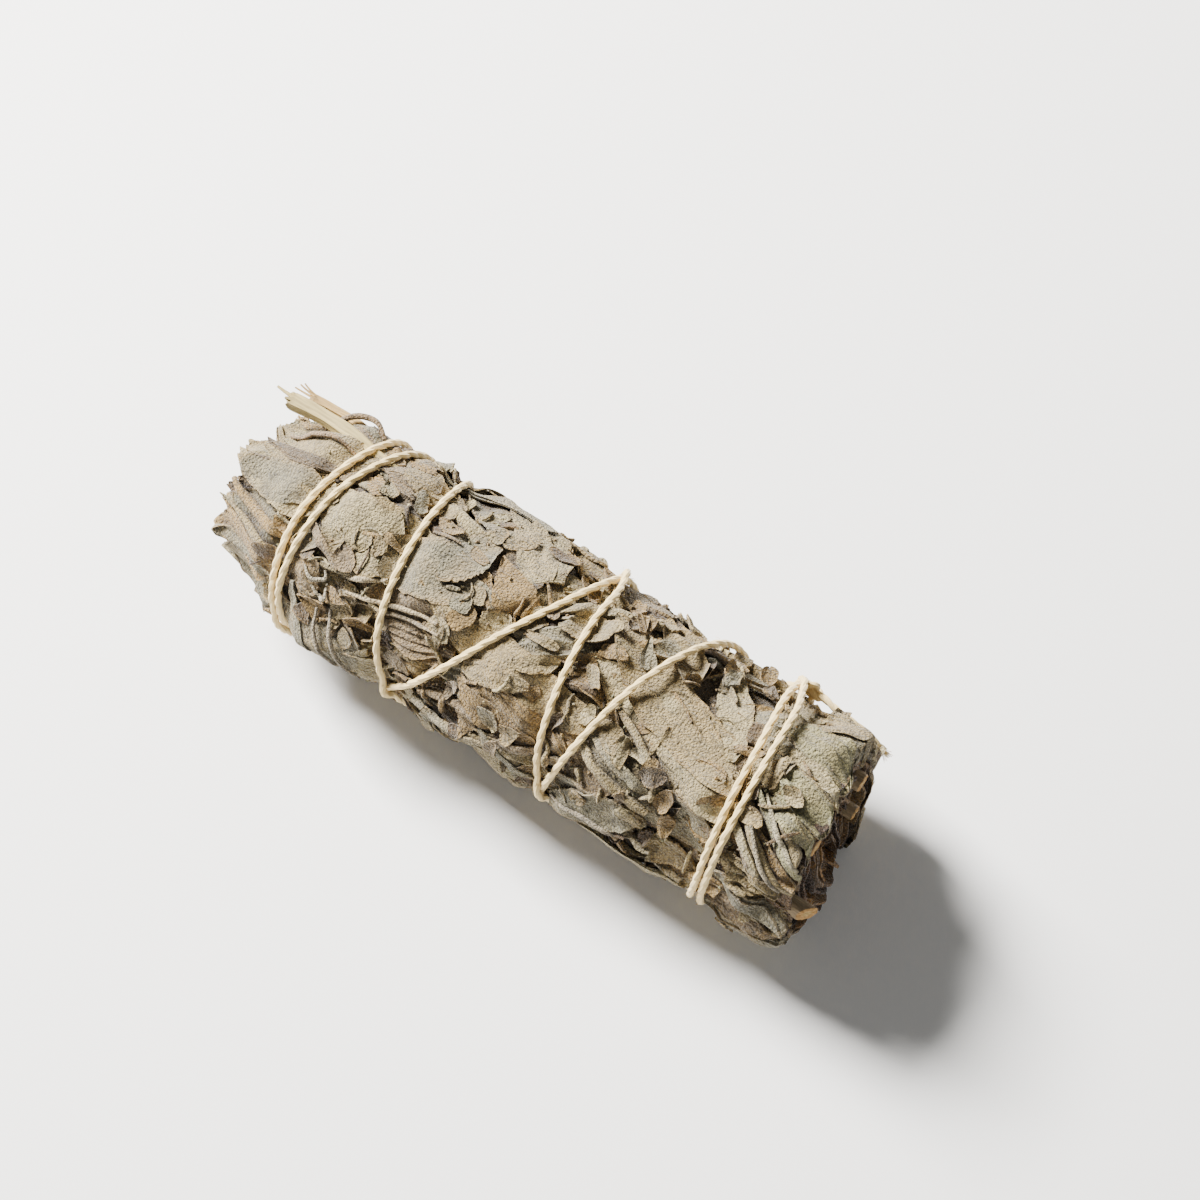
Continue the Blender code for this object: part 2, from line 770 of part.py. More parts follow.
def knot_shapes():
    """The knot that ties the string's two ends: three short arcs of it, each over the next."""
    centre, turn = knot_frame()
    long_way, short_way = KNOT_SIZE
    arcs = []
    for third in range(3):
        centres = []
        for t in steps(third * 120 - 15, third * 120 + 130, 7):
            t = math.radians(t)
            x = long_way * (math.sin(t) + 2 * math.sin(2 * t)) / 3
            y = short_way * (math.cos(t) - 2 * math.cos(2 * t)) / 3
            z = -0.45 * STRING_DIAMETER * math.sin(3 * t)
            centres.append(centre + turn @ Vector((x, y, z)))
        rings = [(c, w, STRING_RADIUS) for c, w in zip(centres, directions(centres))]
        arcs.append(tube(rings, STRING_SIDES))
    return arcs


def tail_shape(sign):
    """A loose end of the string, from the knot along the leaves."""
    centre, turn = knot_frame()
    centres = []
    for share in steps(0.0, 1.0, 6):
        x = KNOT_X + sign * (0.0010 + TAIL_LENGTH * share)
        angle = KNOT_ANGLE + sign * 10 * math.sin(2.6 * share) - 16 * share
        drop = STRING_LIFT + STRING_DIAMETER * 0.9 * (1 - smooth(share / 0.45))
        centres.append(place(x, angle, -drop))
    centres[0] = centre
    rings = [(c, w, STRING_RADIUS) for c, w in zip(centres, directions(centres))]
    return tube(rings, STRING_SIDES)


def make_string(finish):
    centres = string_centres()
    rings = [(c, w, STRING_RADIUS) for c, w in zip(centres, directions(centres))]
    points, faces = tube(rings, STRING_SIDES)
    string = mesh_object("cotton_string", points, faces, finish)
    combine(string, "UNION", knot_shapes() + [tail_shape(-1), tail_shape(1)], "EXACT")
    clean(string)
    string.data.shade_smooth()
    string.data.set_sharp_from_angle(angle=math.radians(50))


def settle():
    """Moves every node so that the middle of the whole box is over the origin."""
    nodes = list(bpy.data.objects)
    for axis in (0, 1):
        places = [vertex.co[axis] for node in nodes for vertex in node.data.vertices]
        middle = (min(places) + max(places)) / 2
        for node in nodes:
            for vertex in node.data.vertices:
                vertex.co[axis] -= middle


for old in list(bpy.data.objects):
    bpy.data.objects.remove(old)

make_sprigs(
    material("dried_sage_leaf", LEAF_COLOUR, 0.95),
    material("sage_stem", STEM_COLOUR, 0.8),
)
make_stalks(material("peeled_stalk", STALK_COLOUR, 0.7))
make_string(material("cotton_string", STRING_COLOUR, 0.9))
settle()
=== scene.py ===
"""A sage smudge stick: dried white sage, pressed into a round bundle, tied with cotton string."""

import math
import random

import bpy
import numpy as np
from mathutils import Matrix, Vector


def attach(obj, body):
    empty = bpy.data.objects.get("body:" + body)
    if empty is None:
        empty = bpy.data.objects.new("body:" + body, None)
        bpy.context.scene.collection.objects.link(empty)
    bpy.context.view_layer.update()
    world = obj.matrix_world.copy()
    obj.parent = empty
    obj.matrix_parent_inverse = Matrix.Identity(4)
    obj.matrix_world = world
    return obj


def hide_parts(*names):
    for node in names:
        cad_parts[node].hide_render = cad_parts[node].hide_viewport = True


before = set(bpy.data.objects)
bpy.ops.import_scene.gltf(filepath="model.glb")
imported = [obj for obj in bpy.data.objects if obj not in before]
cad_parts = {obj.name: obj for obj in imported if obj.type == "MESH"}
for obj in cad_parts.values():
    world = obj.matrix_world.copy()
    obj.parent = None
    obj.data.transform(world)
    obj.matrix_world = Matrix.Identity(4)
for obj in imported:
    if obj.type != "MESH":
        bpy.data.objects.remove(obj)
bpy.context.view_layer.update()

# The bundle.
# The real bundle is a fistful of leafy sprigs rolled tight in the hand, so it is nearly round, a
# little thicker at the cut stems (+X) and drawn in at the leaf tips (-X). All its pieces are laid
# out on it in millimetres: x along it, and a way round it or an angle, 90 on top and 180 at -Y.
BUNDLE_RADIUS = 16.5
BUNDLE_TAPER = 0.012
BUNDLE_END = 51.0
TIP_DRAW = 5.0
TIP_DRAW_START = -BUNDLE_END - 6
TIP_DRAW_LENGTH = 18
AXIS_HEIGHT = 17.25
MIDDLE = (2.820, -0.170)
ROUND = 2 * math.pi * BUNDLE_RADIUS
MM_PER_DEGREE = ROUND / 360
# Heights over the bundle are kept on a grid of x and the way round, with this spacing
GRID = 0.16
GRID_START = -64.0
GRID_X = 780
GRID_ROUND = int(ROUND / GRID)


def smooth(t):
    t = np.clip(t, 0.0, 1.0)
    return t * t * (3 - 2 * t)


def girth(x):
    drawn_in = 1 - smooth((x - TIP_DRAW_START) / TIP_DRAW_LENGTH)
    return BUNDLE_RADIUS + BUNDLE_TAPER * x - TIP_DRAW * drawn_in


# The string's way.
# It is one length of two-ply cotton, knotted on the far side near the cut end, wound to the tips
# and back over itself. It presses the leaves in, so its way is worked out before they are laid.
# Each pair is x in mm and the angle, which runs on past 360 from turn to turn.
STRING_WAY = (
    (34.2, 8), (34.6, 45), (36.9, 100), (37.8, 180), (31.0, 285), (22.3, 385), (20.8, 405),
    (15.6, 462), (11.4, 522), (10.0, 545), (6.2, 650), (2.4, 762), (-0.4, 798), (-7.0, 840),
    (-14.6, 882), (-19.2, 905), (-28.0, 1000), (-35.2, 1108), (-37.2, 1146), (-39.4, 1180),
    (-40.2, 1230), (-39.6, 1262), (-39.2, 1360), (-39.3, 1480), (-42.0, 1545), (-42.0, 1575),
    (-40.6, 1622), (-33.6, 1720), (-26.6, 1820), (-24.6, 1890), (-22.4, 1942), (-18.6, 1986),
    (-8.0, 2090), (3.9, 2200), (5.3, 2242), (7.2, 2288), (10.2, 2338), (24.0, 2440),
    (36.6, 2565), (38.6, 2610), (39.4, 2660), (39.2, 2710), (36.6, 2820), (35.9, 2887),
)
STRING_OUT = 0.72
PRESS_REACH = 4.2
PRESS_LEVEL = 0.12


def string_way(step):
    """x and angle every step degrees on a smooth curve through the marks of the way."""
    marks = np.array(STRING_WAY, dtype=float)
    x, angle = marks[:, 0], marks[:, 1]
    slope = np.empty(len(x))
    slope[1:-1] = (x[2:] - x[:-2]) / (angle[2:] - angle[:-2])
    slope[0] = (x[1] - x[0]) / (angle[1] - angle[0])
    slope[-1] = (x[-1] - x[-2]) / (angle[-1] - angle[-2])
    at = np.arange(angle[0], angle[-1], step)
    k = np.clip(np.searchsorted(angle, at, side="right") - 1, 0, len(x) - 2)
    span = angle[k + 1] - angle[k]
    t = (at - angle[k]) / span
    way = (2 * t**3 - 3 * t**2 + 1) * x[k] + (t**3 - 2 * t**2 + t) * span * slope[k]
    way += (3 * t**2 - 2 * t**3) * x[k + 1] + (t**3 - t**2) * span * slope[k + 1]
    return way, at


def string_distance():
    """How far each point of the grid is from the nearest run of string, in mm."""
    way, at = string_way(1.0)
    nearest = np.full((GRID_X, GRID_ROUND), 99.0)
    rows = GRID_START + GRID * np.arange(GRID_X)
    slant = np.gradient(way) / MM_PER_DEGREE
    for x, angle, lean in zip(way, at, slant):
        column = int(round((angle % 360) / 360 * GRID_ROUND)) % GRID_ROUND
        across = np.abs(rows - x) / math.sqrt(1 + lean * lean)
        for near in range(column - 1, column + 2):
            here = near % GRID_ROUND
            nearest[:, here] = np.minimum(nearest[:, here], across)
    return nearest


pressed = 1 - smooth((string_distance() - 0.5) / PRESS_REACH)

# The leaves.
# Each is one dried white sage leaf: a lance of 15 to 35 mm, felted, with a rib along its middle
# and curled or broken edges. They lie on one another in the order in which they are laid here,
# and the string and the hand that rolled them hold them. They are most of the object.
WARM, PALE, COOL, TAN, MAUVE, GREEN, DARK = range(7)
LEAF_TONES = np.array(
    [
        (0.252, 0.190, 0.082),
        (0.328, 0.266, 0.130),
        (0.200, 0.174, 0.102),
        (0.236, 0.148, 0.045),
        (0.176, 0.124, 0.062),
        (0.262, 0.242, 0.114),
        (0.078, 0.045, 0.016),
    ]
)
# Each form is how far along the leaf, and how wide it is there
LEAF_FORMS = {
    "lance": ((0, 0.1, 0.3, 0.55, 0.8, 0.93, 1), (0.30, 0.62, 0.95, 1, 0.72, 0.38, 0.04)),
    "broken": ((0, 0.08, 0.3, 0.6, 0.9, 1), (0.50, 0.85, 1, 0.97, 0.80, 0.55)),
    "wedge": ((0, 0.1, 0.25, 0.6, 0.85, 1), (0.55, 0.95, 1, 0.62, 0.26, 0.03)),
    "folded": ((0, 0.15, 0.4, 0.7, 0.9, 1), (0.45, 0.85, 1, 0.8, 0.45, 0.08)),
    "rolled": ((0, 0.2, 0.5, 0.8, 1), (0.7, 1, 1, 0.85, 0.45)),
    "pleated": ((0, 0.15, 0.5, 0.8, 1), (0.60, 0.9, 1, 0.85, 0.35)),
}
FLAT_FORMS = ("lance", "broken", "wedge")
LEAF_THICKNESS = 0.48
LEAF_LAYER = 0.30
SETTLE_PASSES = 14
SETTLE_SHARE = 0.85
SETTLED_KEPT = 0.15
LEAF_POINTS = (32, 13)
FRAGMENT_POINTS = (9, 7)
GRID_TIMES = 6
CORE_LEVEL = -4.2
laid_leaves = []
chance = random.Random(11)


def read_grid(grid, x, way):
    i = np.clip((x - GRID_START) / GRID, 0, GRID_X - 1.001)
    j = (way / ROUND * GRID_ROUND) % GRID_ROUND
    low_i = i.astype(int)
    low_j = j.astype(int) % GRID_ROUND
    next_j = (low_j + 1) % GRID_ROUND
    part_i = i - low_i
    part_j = j - np.floor(j)
    low = grid[low_i, low_j] * (1 - part_j) + grid[low_i, next_j] * part_j
    high = grid[low_i + 1, low_j] * (1 - part_j) + grid[low_i + 1, next_j] * part_j
    return low * (1 - part_i) + high * part_i


def closer(values, times):
    """The same surface with times as many points each way."""
    for axis in (0, 1):
        count = values.shape[axis]
        at = np.linspace(0, count - 1, (count - 1) * times + 1)
        low = np.minimum(at.astype(int), count - 2)
        share = at - low
        share = share[:, None] if axis == 0 else share[None, :]
        one = np.take(values, low, axis=axis)
        two = np.take(values, low + 1, axis=axis)
        values = one * (1 - share) + two * share
    return values


def raise_grid(grid, x, way, level, times):
    x, way, level = closer(x, times), closer(way, times), closer(level, times)
    i = np.clip(np.round((x - GRID_START) / GRID).astype(int), 0, GRID_X - 1)
    j = np.round(way / ROUND * GRID_ROUND).astype(int) % GRID_ROUND
    np.maximum.at(grid, (i, j), level)


def wander(rng, u, v, waves, low, high):
    """A soft random rise and fall over a leaf, about one high."""
    total = 0
    for _ in range(waves):
        turn = rng.uniform(0, 2 * math.pi)
        speed = rng.uniform(low, high)
        phase = rng.uniform(0, 2 * math.pi)
        total = total + np.sin(speed * (u * math.cos(turn) + v * math.sin(turn)) + phase)
    return total / math.sqrt(waves)


def several(rng, low, high, count):
    return np.array([rng.uniform(low, high) for _ in range(count)])


def softened(level):
    """Each point of a leaf's face moved to the mean of its four neighbours."""
    wide = np.pad(level, 1, mode="edge")
    return (wide[:-2, 1:-1] + wide[2:, 1:-1] + wide[1:-1, :-2] + wide[1:-1, 2:]) / 4


def leaf_outline(rng, u, v, length, width, form):
    """Half the width along a leaf, how far along each point is, and how far the leaf bows."""
    half = width / 2 * np.interp(u, *LEAF_FORMS[form])
    half = half * (1 + 0.07 * wander(rng, 14 * u, 3 * np.sign(v) + 0 * u, 2, 0.6, 1.6))
    nicks = several(rng, -1, 1, 2 * u.size).reshape(u.size, 2)
    nick = np.where(v < 0, nicks[:, :1], nicks[:, 1:])
    half = half * (1 + 0.055 * nick * smooth((np.abs(v) - 0.6) / 0.4))
    bow = rng.uniform(-0.07, 0.07) * length * np.sin(math.pi * u)
    reach = u * length
    if form in ("broken", "folded"):
        slant = several(rng, -0.8, 0.8, 2)
        reach = reach + slant[0] * v * half * u**3 + slant[1] * v * half * (1 - u) ** 3
        teeth = several(rng, -1, 1, v.size)[None, :]
        torn = (0.4 * teeth + wander(rng, 5 * v, 0 * v, 3, 1.0, 2.2)) * 0.035 * length
        reach = reach + torn * smooth((u - 0.85) / 0.15)
    return half, reach, bow


def leaf_fold(rng, u, v, half, width, form):
    """How far each point is to the side, and how high a roll, a fold or pleats lift it."""
    edge = np.abs(v)
    if form == "rolled":
        roll = width / 2 * rng.uniform(0.46, 0.58)
        across = roll * np.sin(v * 2.5) * half / (width / 2)
        rise = roll * (1 + np.cos(v * 2.5)) * half / (width / 2)
        return across, rise + 0.10 * np.abs(np.sin(4 * v + 3 * u))
    if form == "folded":
        hinge = rng.choice((-1, 1))
        across = half * np.where(v * hinge > 0, edge, 0.82 * edge) * hinge
        rise = np.where(v * hinge > 0, 0.0, 0.55) * smooth(edge / 0.12)
        return across, rise + 0.55 * (1 - smooth(edge / 0.25)) + 0 * u
    if form == "pleated":
        folds = rng.uniform(1.3, 2.1)
        swing = 0.5 * np.sin(u * rng.uniform(2, 5) + rng.uniform(0, 6))
        rise = rng.uniform(0.5, 0.95) * (1 - np.abs(np.sin(math.pi * folds * v + swing)))
        return half * v, rise * smooth(u / 0.15)
    return half * v, 0 * v * u


def curled(rng, u, v, level, width, fine):
    """A flat leaf's level with its edges curled up, a bend like a roof along it, and its rib."""
    level = level + rng.uniform(-0.03, 0.05) * width * np.abs(v) ** 2 * fine
    side = rng.choice((-1, 1))
    curl = rng.uniform(0.2, 1.3) * (0.6 + 0.4 * np.sin(u * rng.uniform(3, 9) + 1))
    curl = curl * min(1.0, width / 5)
    level = level + fine * curl * smooth((v * side - 0.62) / 0.38)
    level = level + fine * 0.5 * curl * smooth((-v * side - 0.78) / 0.22)
    roof = rng.choice((-1, 1, 1)) * rng.uniform(0.1, 0.55) * fine
    level = level - roof * np.abs(v - rng.uniform(-0.4, 0.4)) * smooth(u / 0.2)
    ribbed = rng.choice((-0.34, -0.26, 0.24))
    return level + ribbed * np.exp(-((v / 0.12) ** 2)) * (1 - 0.6 * u)


def creased(rng, u, level, across, length, fine):
    """The level with two creases that cross the leaf, up or down."""
    for _ in range(2):
        turn = rng.uniform(0, math.pi)
        past = (u - 0.5) * length * math.cos(turn) + across * math.sin(turn)
        past = np.abs(past - rng.uniform(-0.3, 0.3) * length)
        level = level + rng.uniform(-0.17, 0.12) * np.minimum(past, 2.6) * fine
    return level


def crumpled(rng, v, level, x, way, reach, fine):
    """The level with soft waves, the side veins and the felt's own unevenness."""
    edge = np.abs(v)
    waves = wander(rng, x, way, 4, 0.6, 1.5)
    level = level + waves * (0.05 + 0.11 * edge) * (0.5 + 0.5 * fine)
    veins = np.abs(np.sin(math.pi * (reach / rng.uniform(1.8, 2.6) + edge * 1.2)))
    level = level + 0.07 * (veins - 0.6) * (1 - edge) * smooth(edge / 0.15)
    return level + 0.05 * wander(rng, 2.2 * x, 2.2 * way, 4, 0.7, 1.4)


def leaf_colours(rng, u, v, x, way, tone):
    """Each point's colour: mottled, and browner along the edges and at the tip."""
    colour = LEAF_TONES[tone] * (1 + rng.uniform(-0.12, 0.12))
    mottle = wander(rng, x, way, 4, 0.4, 1.5)[..., None]
    other = LEAF_TONES[rng.choice((TAN, COOL, WARM, TAN))]
    mixed = colour + (other - colour) * np.clip(0.16 + 0.14 * mottle, 0, 0.55)
    rim = smooth((np.abs(v) - 0.80) / 0.20)[..., None] + smooth((u - 0.93) / 0.07)[..., None]
    rim = np.clip(rim * (0.5 + 0.5 * mottle), 0, 1)
    return mixed + (LEAF_TONES[TAN] - mixed) * 0.75 * rim


def lay_leaf(grid, rng, root, tip, width, form, tone, lift, flat=0.0, size=LEAF_POINTS):
    """Lays one leaf on what lies there and raises the grid by it. root and tip are (x, angle)."""
    u = np.linspace(0, 1, size[0])[:, None]
    v = np.linspace(-1, 1, size[1])[None, :]
    start = np.array([root[0], root[1] * MM_PER_DEGREE])
    along = np.array([tip[0], tip[1] * MM_PER_DEGREE]) - start
    length = float(np.hypot(*along))
    ahead = along / length
    aside = np.array([-ahead[1], ahead[0]])
    half, reach, bow = leaf_outline(rng, u, v, length, width, form)
    across, rise = leaf_fold(rng, u, v, half, width, form)
    x = start[0] + ahead[0] * reach + aside[0] * (across + bow)
    way = start[1] + ahead[1] * reach + aside[1] * (across + bow)
    under = read_grid(grid, x, way)
    level = under.copy()
    for _ in range(SETTLE_PASSES):
        level = np.maximum(under, SETTLED_KEPT * level + SETTLE_SHARE * softened(level))
    level = 0.45 * level + 0.55 * softened(level) + LEAF_LAYER + rise
    fine = 1 - flat
    if form in FLAT_FORMS:
        level = curled(rng, u, v, level, width, fine)
    level = creased(rng, u, level, across, length, fine)
    level = crumpled(rng, v, level, x, way, reach, fine)
    level = level + lift * smooth((u - 0.55) / 0.45) + 0.25 * lift * smooth((0.2 - u) / 0.2)
    raise_grid(grid, x, way, level, GRID_TIMES)
    laid_leaves.append((x, way, level, leaf_colours(rng, u, v, x, way, tone)))


FILLER_FORMS = ("lance", "lance", "broken", "wedge", "folded", "broken", "rolled", "pleated")
FILLER_TONES = (WARM, WARM, PALE, COOL, COOL, MAUVE, TAN, WARM, DARK)
FILLER_LAYERS = ((11, 15), (10, 14))
ROOTS_START = -40
ROOTS_SPAN = 82


def lay_filler(grid, rng, rows, columns):
    """Leaves on every side, roots towards the middle of their end, in a loose brickwork."""
    spots = [(row, column) for row in range(rows) for column in range(columns)]
    rng.shuffle(spots)
    for row, column in spots:
        x = ROOTS_START + ROOTS_SPAN * row / (rows - 1) + rng.uniform(-4, 4)
        angle = 360 / columns * (column + 0.5 * (row % 2)) + rng.uniform(-9, 9)
        length = rng.uniform(17, 28)
        heading = rng.gauss(0, 0.38)
        toward = 1 if x > 33 or (x > 18 and rng.random() < 0.3) else -1
        tip_x = x + toward * length * math.cos(heading)
        tip_angle = angle + length * math.sin(heading) / MM_PER_DEGREE
        tip_x = max(min(tip_x, BUNDLE_END + rng.uniform(-0.5, 2.3)), -BUNDLE_END - 7)
        form = rng.choice(FILLER_FORMS)
        tone = rng.choice(FILLER_TONES)
        width = rng.uniform(6, 10)
        if form == "rolled":
            width = rng.uniform(3, 4.6)
        lift = rng.choice((0, 0, 0.3, 0.8))
        lay_leaf(grid, rng, (x, angle), (tip_x, tip_angle), width, form, tone, lift)


# The leaves that the photographed side shows, from the lowest to the topmost:
# root x, root angle, tip x, tip angle, width, form, tone, lift of the tip
SHOWN_LEAVES = (
    (39, 124, 9, 92, 9.5, "lance", PALE, 0.2),
    (22, 148, 5, 131, 9.0, "broken", MAUVE, 0.2),
    (12, 149, -7, 134, 7.5, "broken", TAN, 0.1),
    (-24, 166, -44, 165, 10.0, "broken", COOL, 0.2),
    (14, 125, -17, 112, 7.5, "lance", WARM, 0.3),
    (-37, 118, -55, 127, 8.5, "lance", COOL, 0.7),
    (-39, 147, -58, 142, 9.0, "folded", TAN, 0.9),
    (-38, 166, -58, 168, 8.0, "lance", COOL, 0.8),
    (-40, 108, -60, 92, 9.0, "broken", PALE, 0.6),
    (-38, 66, -57, 80, 8.0, "broken", WARM, 0.7),
    (-25, 101, -39, 101, 10.5, "broken", PALE, 0.2),
    (-27, 105, -6, 97, 9.0, "wedge", COOL, 0.3),
    (-19, 92, -13, 71, 8.0, "broken", COOL, 0.6),
    (-4, 73, -13, 38, 4.0, "lance", WARM, 0.4),
    (-5, 96, -12, 74, 6.5, "wedge", TAN, 0.4),
    (-22, 62, -33, 55, 6.5, "broken", WARM, 0.5),
    (40, 110, 7, 65, 10.0, "lance", WARM, 0.3),
    (34, 100, 25, 40, 5.5, "lance", PALE, 0.4),
    (40, 148, 14, 126, 9.0, "lance", COOL, 0.3),
    (26, 171, 10, 163, 7.5, "lance", COOL, 0.2),
    (11, 164, -2, 161, 4.0, "folded", WARM, 0.3),
    (39, 171, 29, 166, 7.5, "broken", MAUVE, 0.3),
    (23, 70, 14, 46, 5.5, "broken", WARM, 0.5),
    (39, 62, 54, 74, 7.0, "pleated", GREEN, 0.5),
    (40, 80, 54, 90, 5.5, "folded", PALE, 0.3),
    (39, 92, 54, 106, 6.0, "pleated", GREEN, 0.2),
    (40, 108, 54, 122, 5.0, "folded", GREEN, 0.2),
    (38, 100, 53, 134, 3.0, "rolled", GREEN, 0.1),
    (39, 112, 52, 146, 3.2, "rolled", WARM, 0.1),
    (39, 124, 50, 152, 3.0, "rolled", PALE, 0.1),
    (39, 146, 50, 150, 5.0, "pleated", WARM, 0.1),
    (40, 166, 53, 172, 6.0, "folded", COOL, 0.3),
    (38, 184, 54, 188, 6.0, "pleated", MAUVE, 0.4),
    (39, 196, 56, 193, 6.5, "folded", COOL, 0.9),
    (-41, 128, -58, 119, 3.8, "rolled", TAN, 0.3),
    (-43, 141, -58, 136, 3.4, "rolled", WARM, 0.3),
    (-41, 96, -58, 104, 8.0, "lance", COOL, 0.5),
    # Painted shade: this dark leaf stands for the hollow by the stalks
    (-41, 78, -56, 75, 5.0, "folded", DARK, 0.1),
    (-40, 112, -32, 125, 2.8, "rolled", MAUVE, 0.1),
    (-38, 146, -30, 188, 5.0, "folded", COOL, 0.2),
    (-13, 162, -1, 155, 2.6, "rolled", MAUVE, 0.1),
    (-14, 171, 1, 166, 3.0, "rolled", COOL, 0.1),
    (-1, 157, 9, 173, 4.0, "folded", COOL, 0.2),
    (12, 178, 27, 158, 6.5, "lance", COOL, 0.3),
    (17, 189, 36, 186, 6.0, "folded", PALE, 0.3),
    (29, 165, 39, 177, 5.5, "wedge", WARM, 0.3),
    (16, 108, 27, 128, 2.8, "rolled", WARM, 0.1),
    (14, 122, 29, 141, 4.2, "folded", COOL, 0.2),
    (13, 132, 27, 150, 3.4, "rolled", WARM, 0.1),
    (-22, 140, -10, 131, 4.0, "pleated", MAUVE, 0.2),
    (11, 139, -3, 128, 3.6, "folded", TAN, 0.4),
    (7, 152, -6, 143, 4.2, "broken", TAN, 0.9),
    (-8, 133, 3, 123, 3.2, "pleated", WARM, 0.5),
    (13, 150, 2, 158, 3.0, "rolled", MAUVE, 0.2),
    (2, 84, 9, 80, 5.0, "broken", WARM, 0.6),
    (9, 53, 15, 44, 4.5, "broken", WARM, 0.5),
)
SHOWN_FLATNESS = 0.1
FRAGMENT_COUNT = 340
FRAGMENT_FORMS = ("broken", "broken", "wedge", "lance", "rolled")
FRAGMENT_TONES = (WARM, WARM, COOL, TAN, TAN, MAUVE, PALE, DARK)
HOLLOW_WIDTH = 2.5


def blurred(grid, reach):
    """A wide, even blur that runs on round the bundle."""
    size = 2 * int(reach / GRID) + 1
    half = size // 2
    for _ in range(2):
        for axis in (0, 1):
            pad = [(0, 0), (0, 0)]
            pad[axis] = (half + 1, half)
            wide = np.pad(grid, pad, mode="wrap" if axis else "edge")
            total = np.cumsum(wide, axis=axis)
            high = np.take(total, range(size, total.shape[axis]), axis=axis)
            low = np.take(total, range(0, total.shape[axis] - size), axis=axis)
            grid = (high - low) / size
    return grid


def hollow_spot(grid, even, rng, tries, x_range):
    """The x and angle of the deepest of a few random places on the leaves."""
    found = []
    for _ in range(tries):
        x = rng.uniform(*x_range)
        angle = rng.uniform(0, 360)
        spot = (np.array(x), np.array(angle * MM_PER_DEGREE))
        found.append((float(read_grid(grid, *spot) - read_grid(even, *spot)), x, angle))
    return min(found)[1:]


def lay_fragments(grid, rng, count):
    """Broken bits of leaf that lie in the hollows, at all angles."""
    even = blurred(grid, HOLLOW_WIDTH)
    for _ in range(count):
        x, angle = hollow_spot(grid, even, rng, 7, (-46, 46))
        length = rng.uniform(1.6, 5.5)
        heading = rng.uniform(0, 2 * math.pi)
        tip = (
            x + length * math.cos(heading),
            angle + length * math.sin(heading) / MM_PER_DEGREE,
        )
        tone = rng.choice(FRAGMENT_TONES)
        form = rng.choice(FRAGMENT_FORMS)
        width = rng.uniform(1.4, 3.4)
        if form == "rolled":
            width = rng.uniform(0.9, 1.7)
        lay_leaf(grid, rng, (x, angle), tip, width, form, tone, 0.3, size=FRAGMENT_POINTS)


stack = np.full((GRID_X, GRID_ROUND), CORE_LEVEL)
for rows, columns in FILLER_LAYERS:
    lay_filler(stack, chance, rows, columns)
for root_x, root_angle, tip_x, tip_angle, width, form, tone, lift in SHOWN_LEAVES:
    root = (root_x, root_angle)
    lay_leaf(stack, chance, root, (tip_x, tip_angle), width, form, tone, lift, SHOWN_FLATNESS)
lay_fragments(stack, chance, FRAGMENT_COUNT)

# Where the string runs the whole stack is pressed to the string's underside, and elsewhere it
# keeps its own height, moved so that it is as thick as the bundle.
BODY_ENDS = (-44, 46)
MEAN_LEVEL = 0.55
top = blurred(stack, 0.9)
body_rows = slice(*(int((end - GRID_START) / GRID) for end in BODY_ENDS))
loose = pressed[body_rows] < 0.02
sunk = float(np.mean(top[body_rows][loose])) - MEAN_LEVEL
room = np.maximum(top - CORE_LEVEL, PRESS_LEVEL - CORE_LEVEL + sunk)
press_ratio = 1 + pressed * ((PRESS_LEVEL - CORE_LEVEL + sunk) / room - 1)
LOOSE_LEVEL = 1.4
LOOSE_SHARE = 0.4
SHOWN_STEM_ANGLE = 159
CUT_SLANT = 2.3
CUT_TOWARD = 3.6


def settled(x, way, level):
    """The level of a point once the string is tight, from the bundle's own radius. What would
    stand too far out is bent in, and the leaves fall away round the stem that shows."""
    ratio = read_grid(press_ratio, x, way)
    level = CORE_LEVEL + (level - CORE_LEVEL) * ratio - sunk
    level = np.where(level > LOOSE_LEVEL, LOOSE_LEVEL + LOOSE_SHARE * (level - LOOSE_LEVEL), level)
    upward = np.cos(np.radians(way / MM_PER_DEGREE - 80))
    level = level - (0.5 + 0.9 * upward) * smooth((x - 46) / 5.5)
    beside = (way / MM_PER_DEGREE) % 360 - SHOWN_STEM_ANGLE
    return level - 2.2 * smooth((x - 45.5) / 3.5) * np.exp(-((beside / 9) ** 2))


def cut_end(degrees):
    """How far along the cut end is at an angle. It is cut by hand, so it isn't quite square."""
    turn = np.radians(degrees)
    uneven = 0.5 * np.sin(5 * turn) + 0.35 * np.sin(11 * turn + 1)
    return BUNDLE_END - 0.3 + CUT_SLANT * np.cos(turn - CUT_TOWARD) + uneven


def toned(name, roughness, gloss):
    """A new material, its node tree, its surface and the colours that the points carry."""
    material = bpy.data.materials.new(name)
    material.use_nodes = True
    tree = material.node_tree
    surface = tree.nodes["Principled BSDF"]
    surface.inputs["Roughness"].default_value = roughness
    surface.inputs["Specular IOR Level"].default_value = gloss
    tone = tree.nodes.new("ShaderNodeAttribute")
    tone.attribute_name = "tone"
    return material, tree, surface, tone.outputs["Color"]


def in_millimetres(tree, stretch=1.0):
    """Places on the object in mm, with stretch for a pattern that is drawn out along X."""
    place = tree.nodes.new("ShaderNodeTexCoord")
    scale = tree.nodes.new("ShaderNodeMapping")
    scale.inputs["Scale"].default_value = (1000 * stretch, 1000, 1000)
    tree.links.new(place.outputs["Object"], scale.inputs["Vector"])
    return scale.outputs["Vector"]


def cloudy(tree, place, scale, detail):
    noise = tree.nodes.new("ShaderNodeTexNoise")
    noise.inputs["Scale"].default_value = scale
    noise.inputs["Detail"].default_value = detail
    tree.links.new(place, noise.inputs["Vector"])
    return noise.outputs["Fac"]


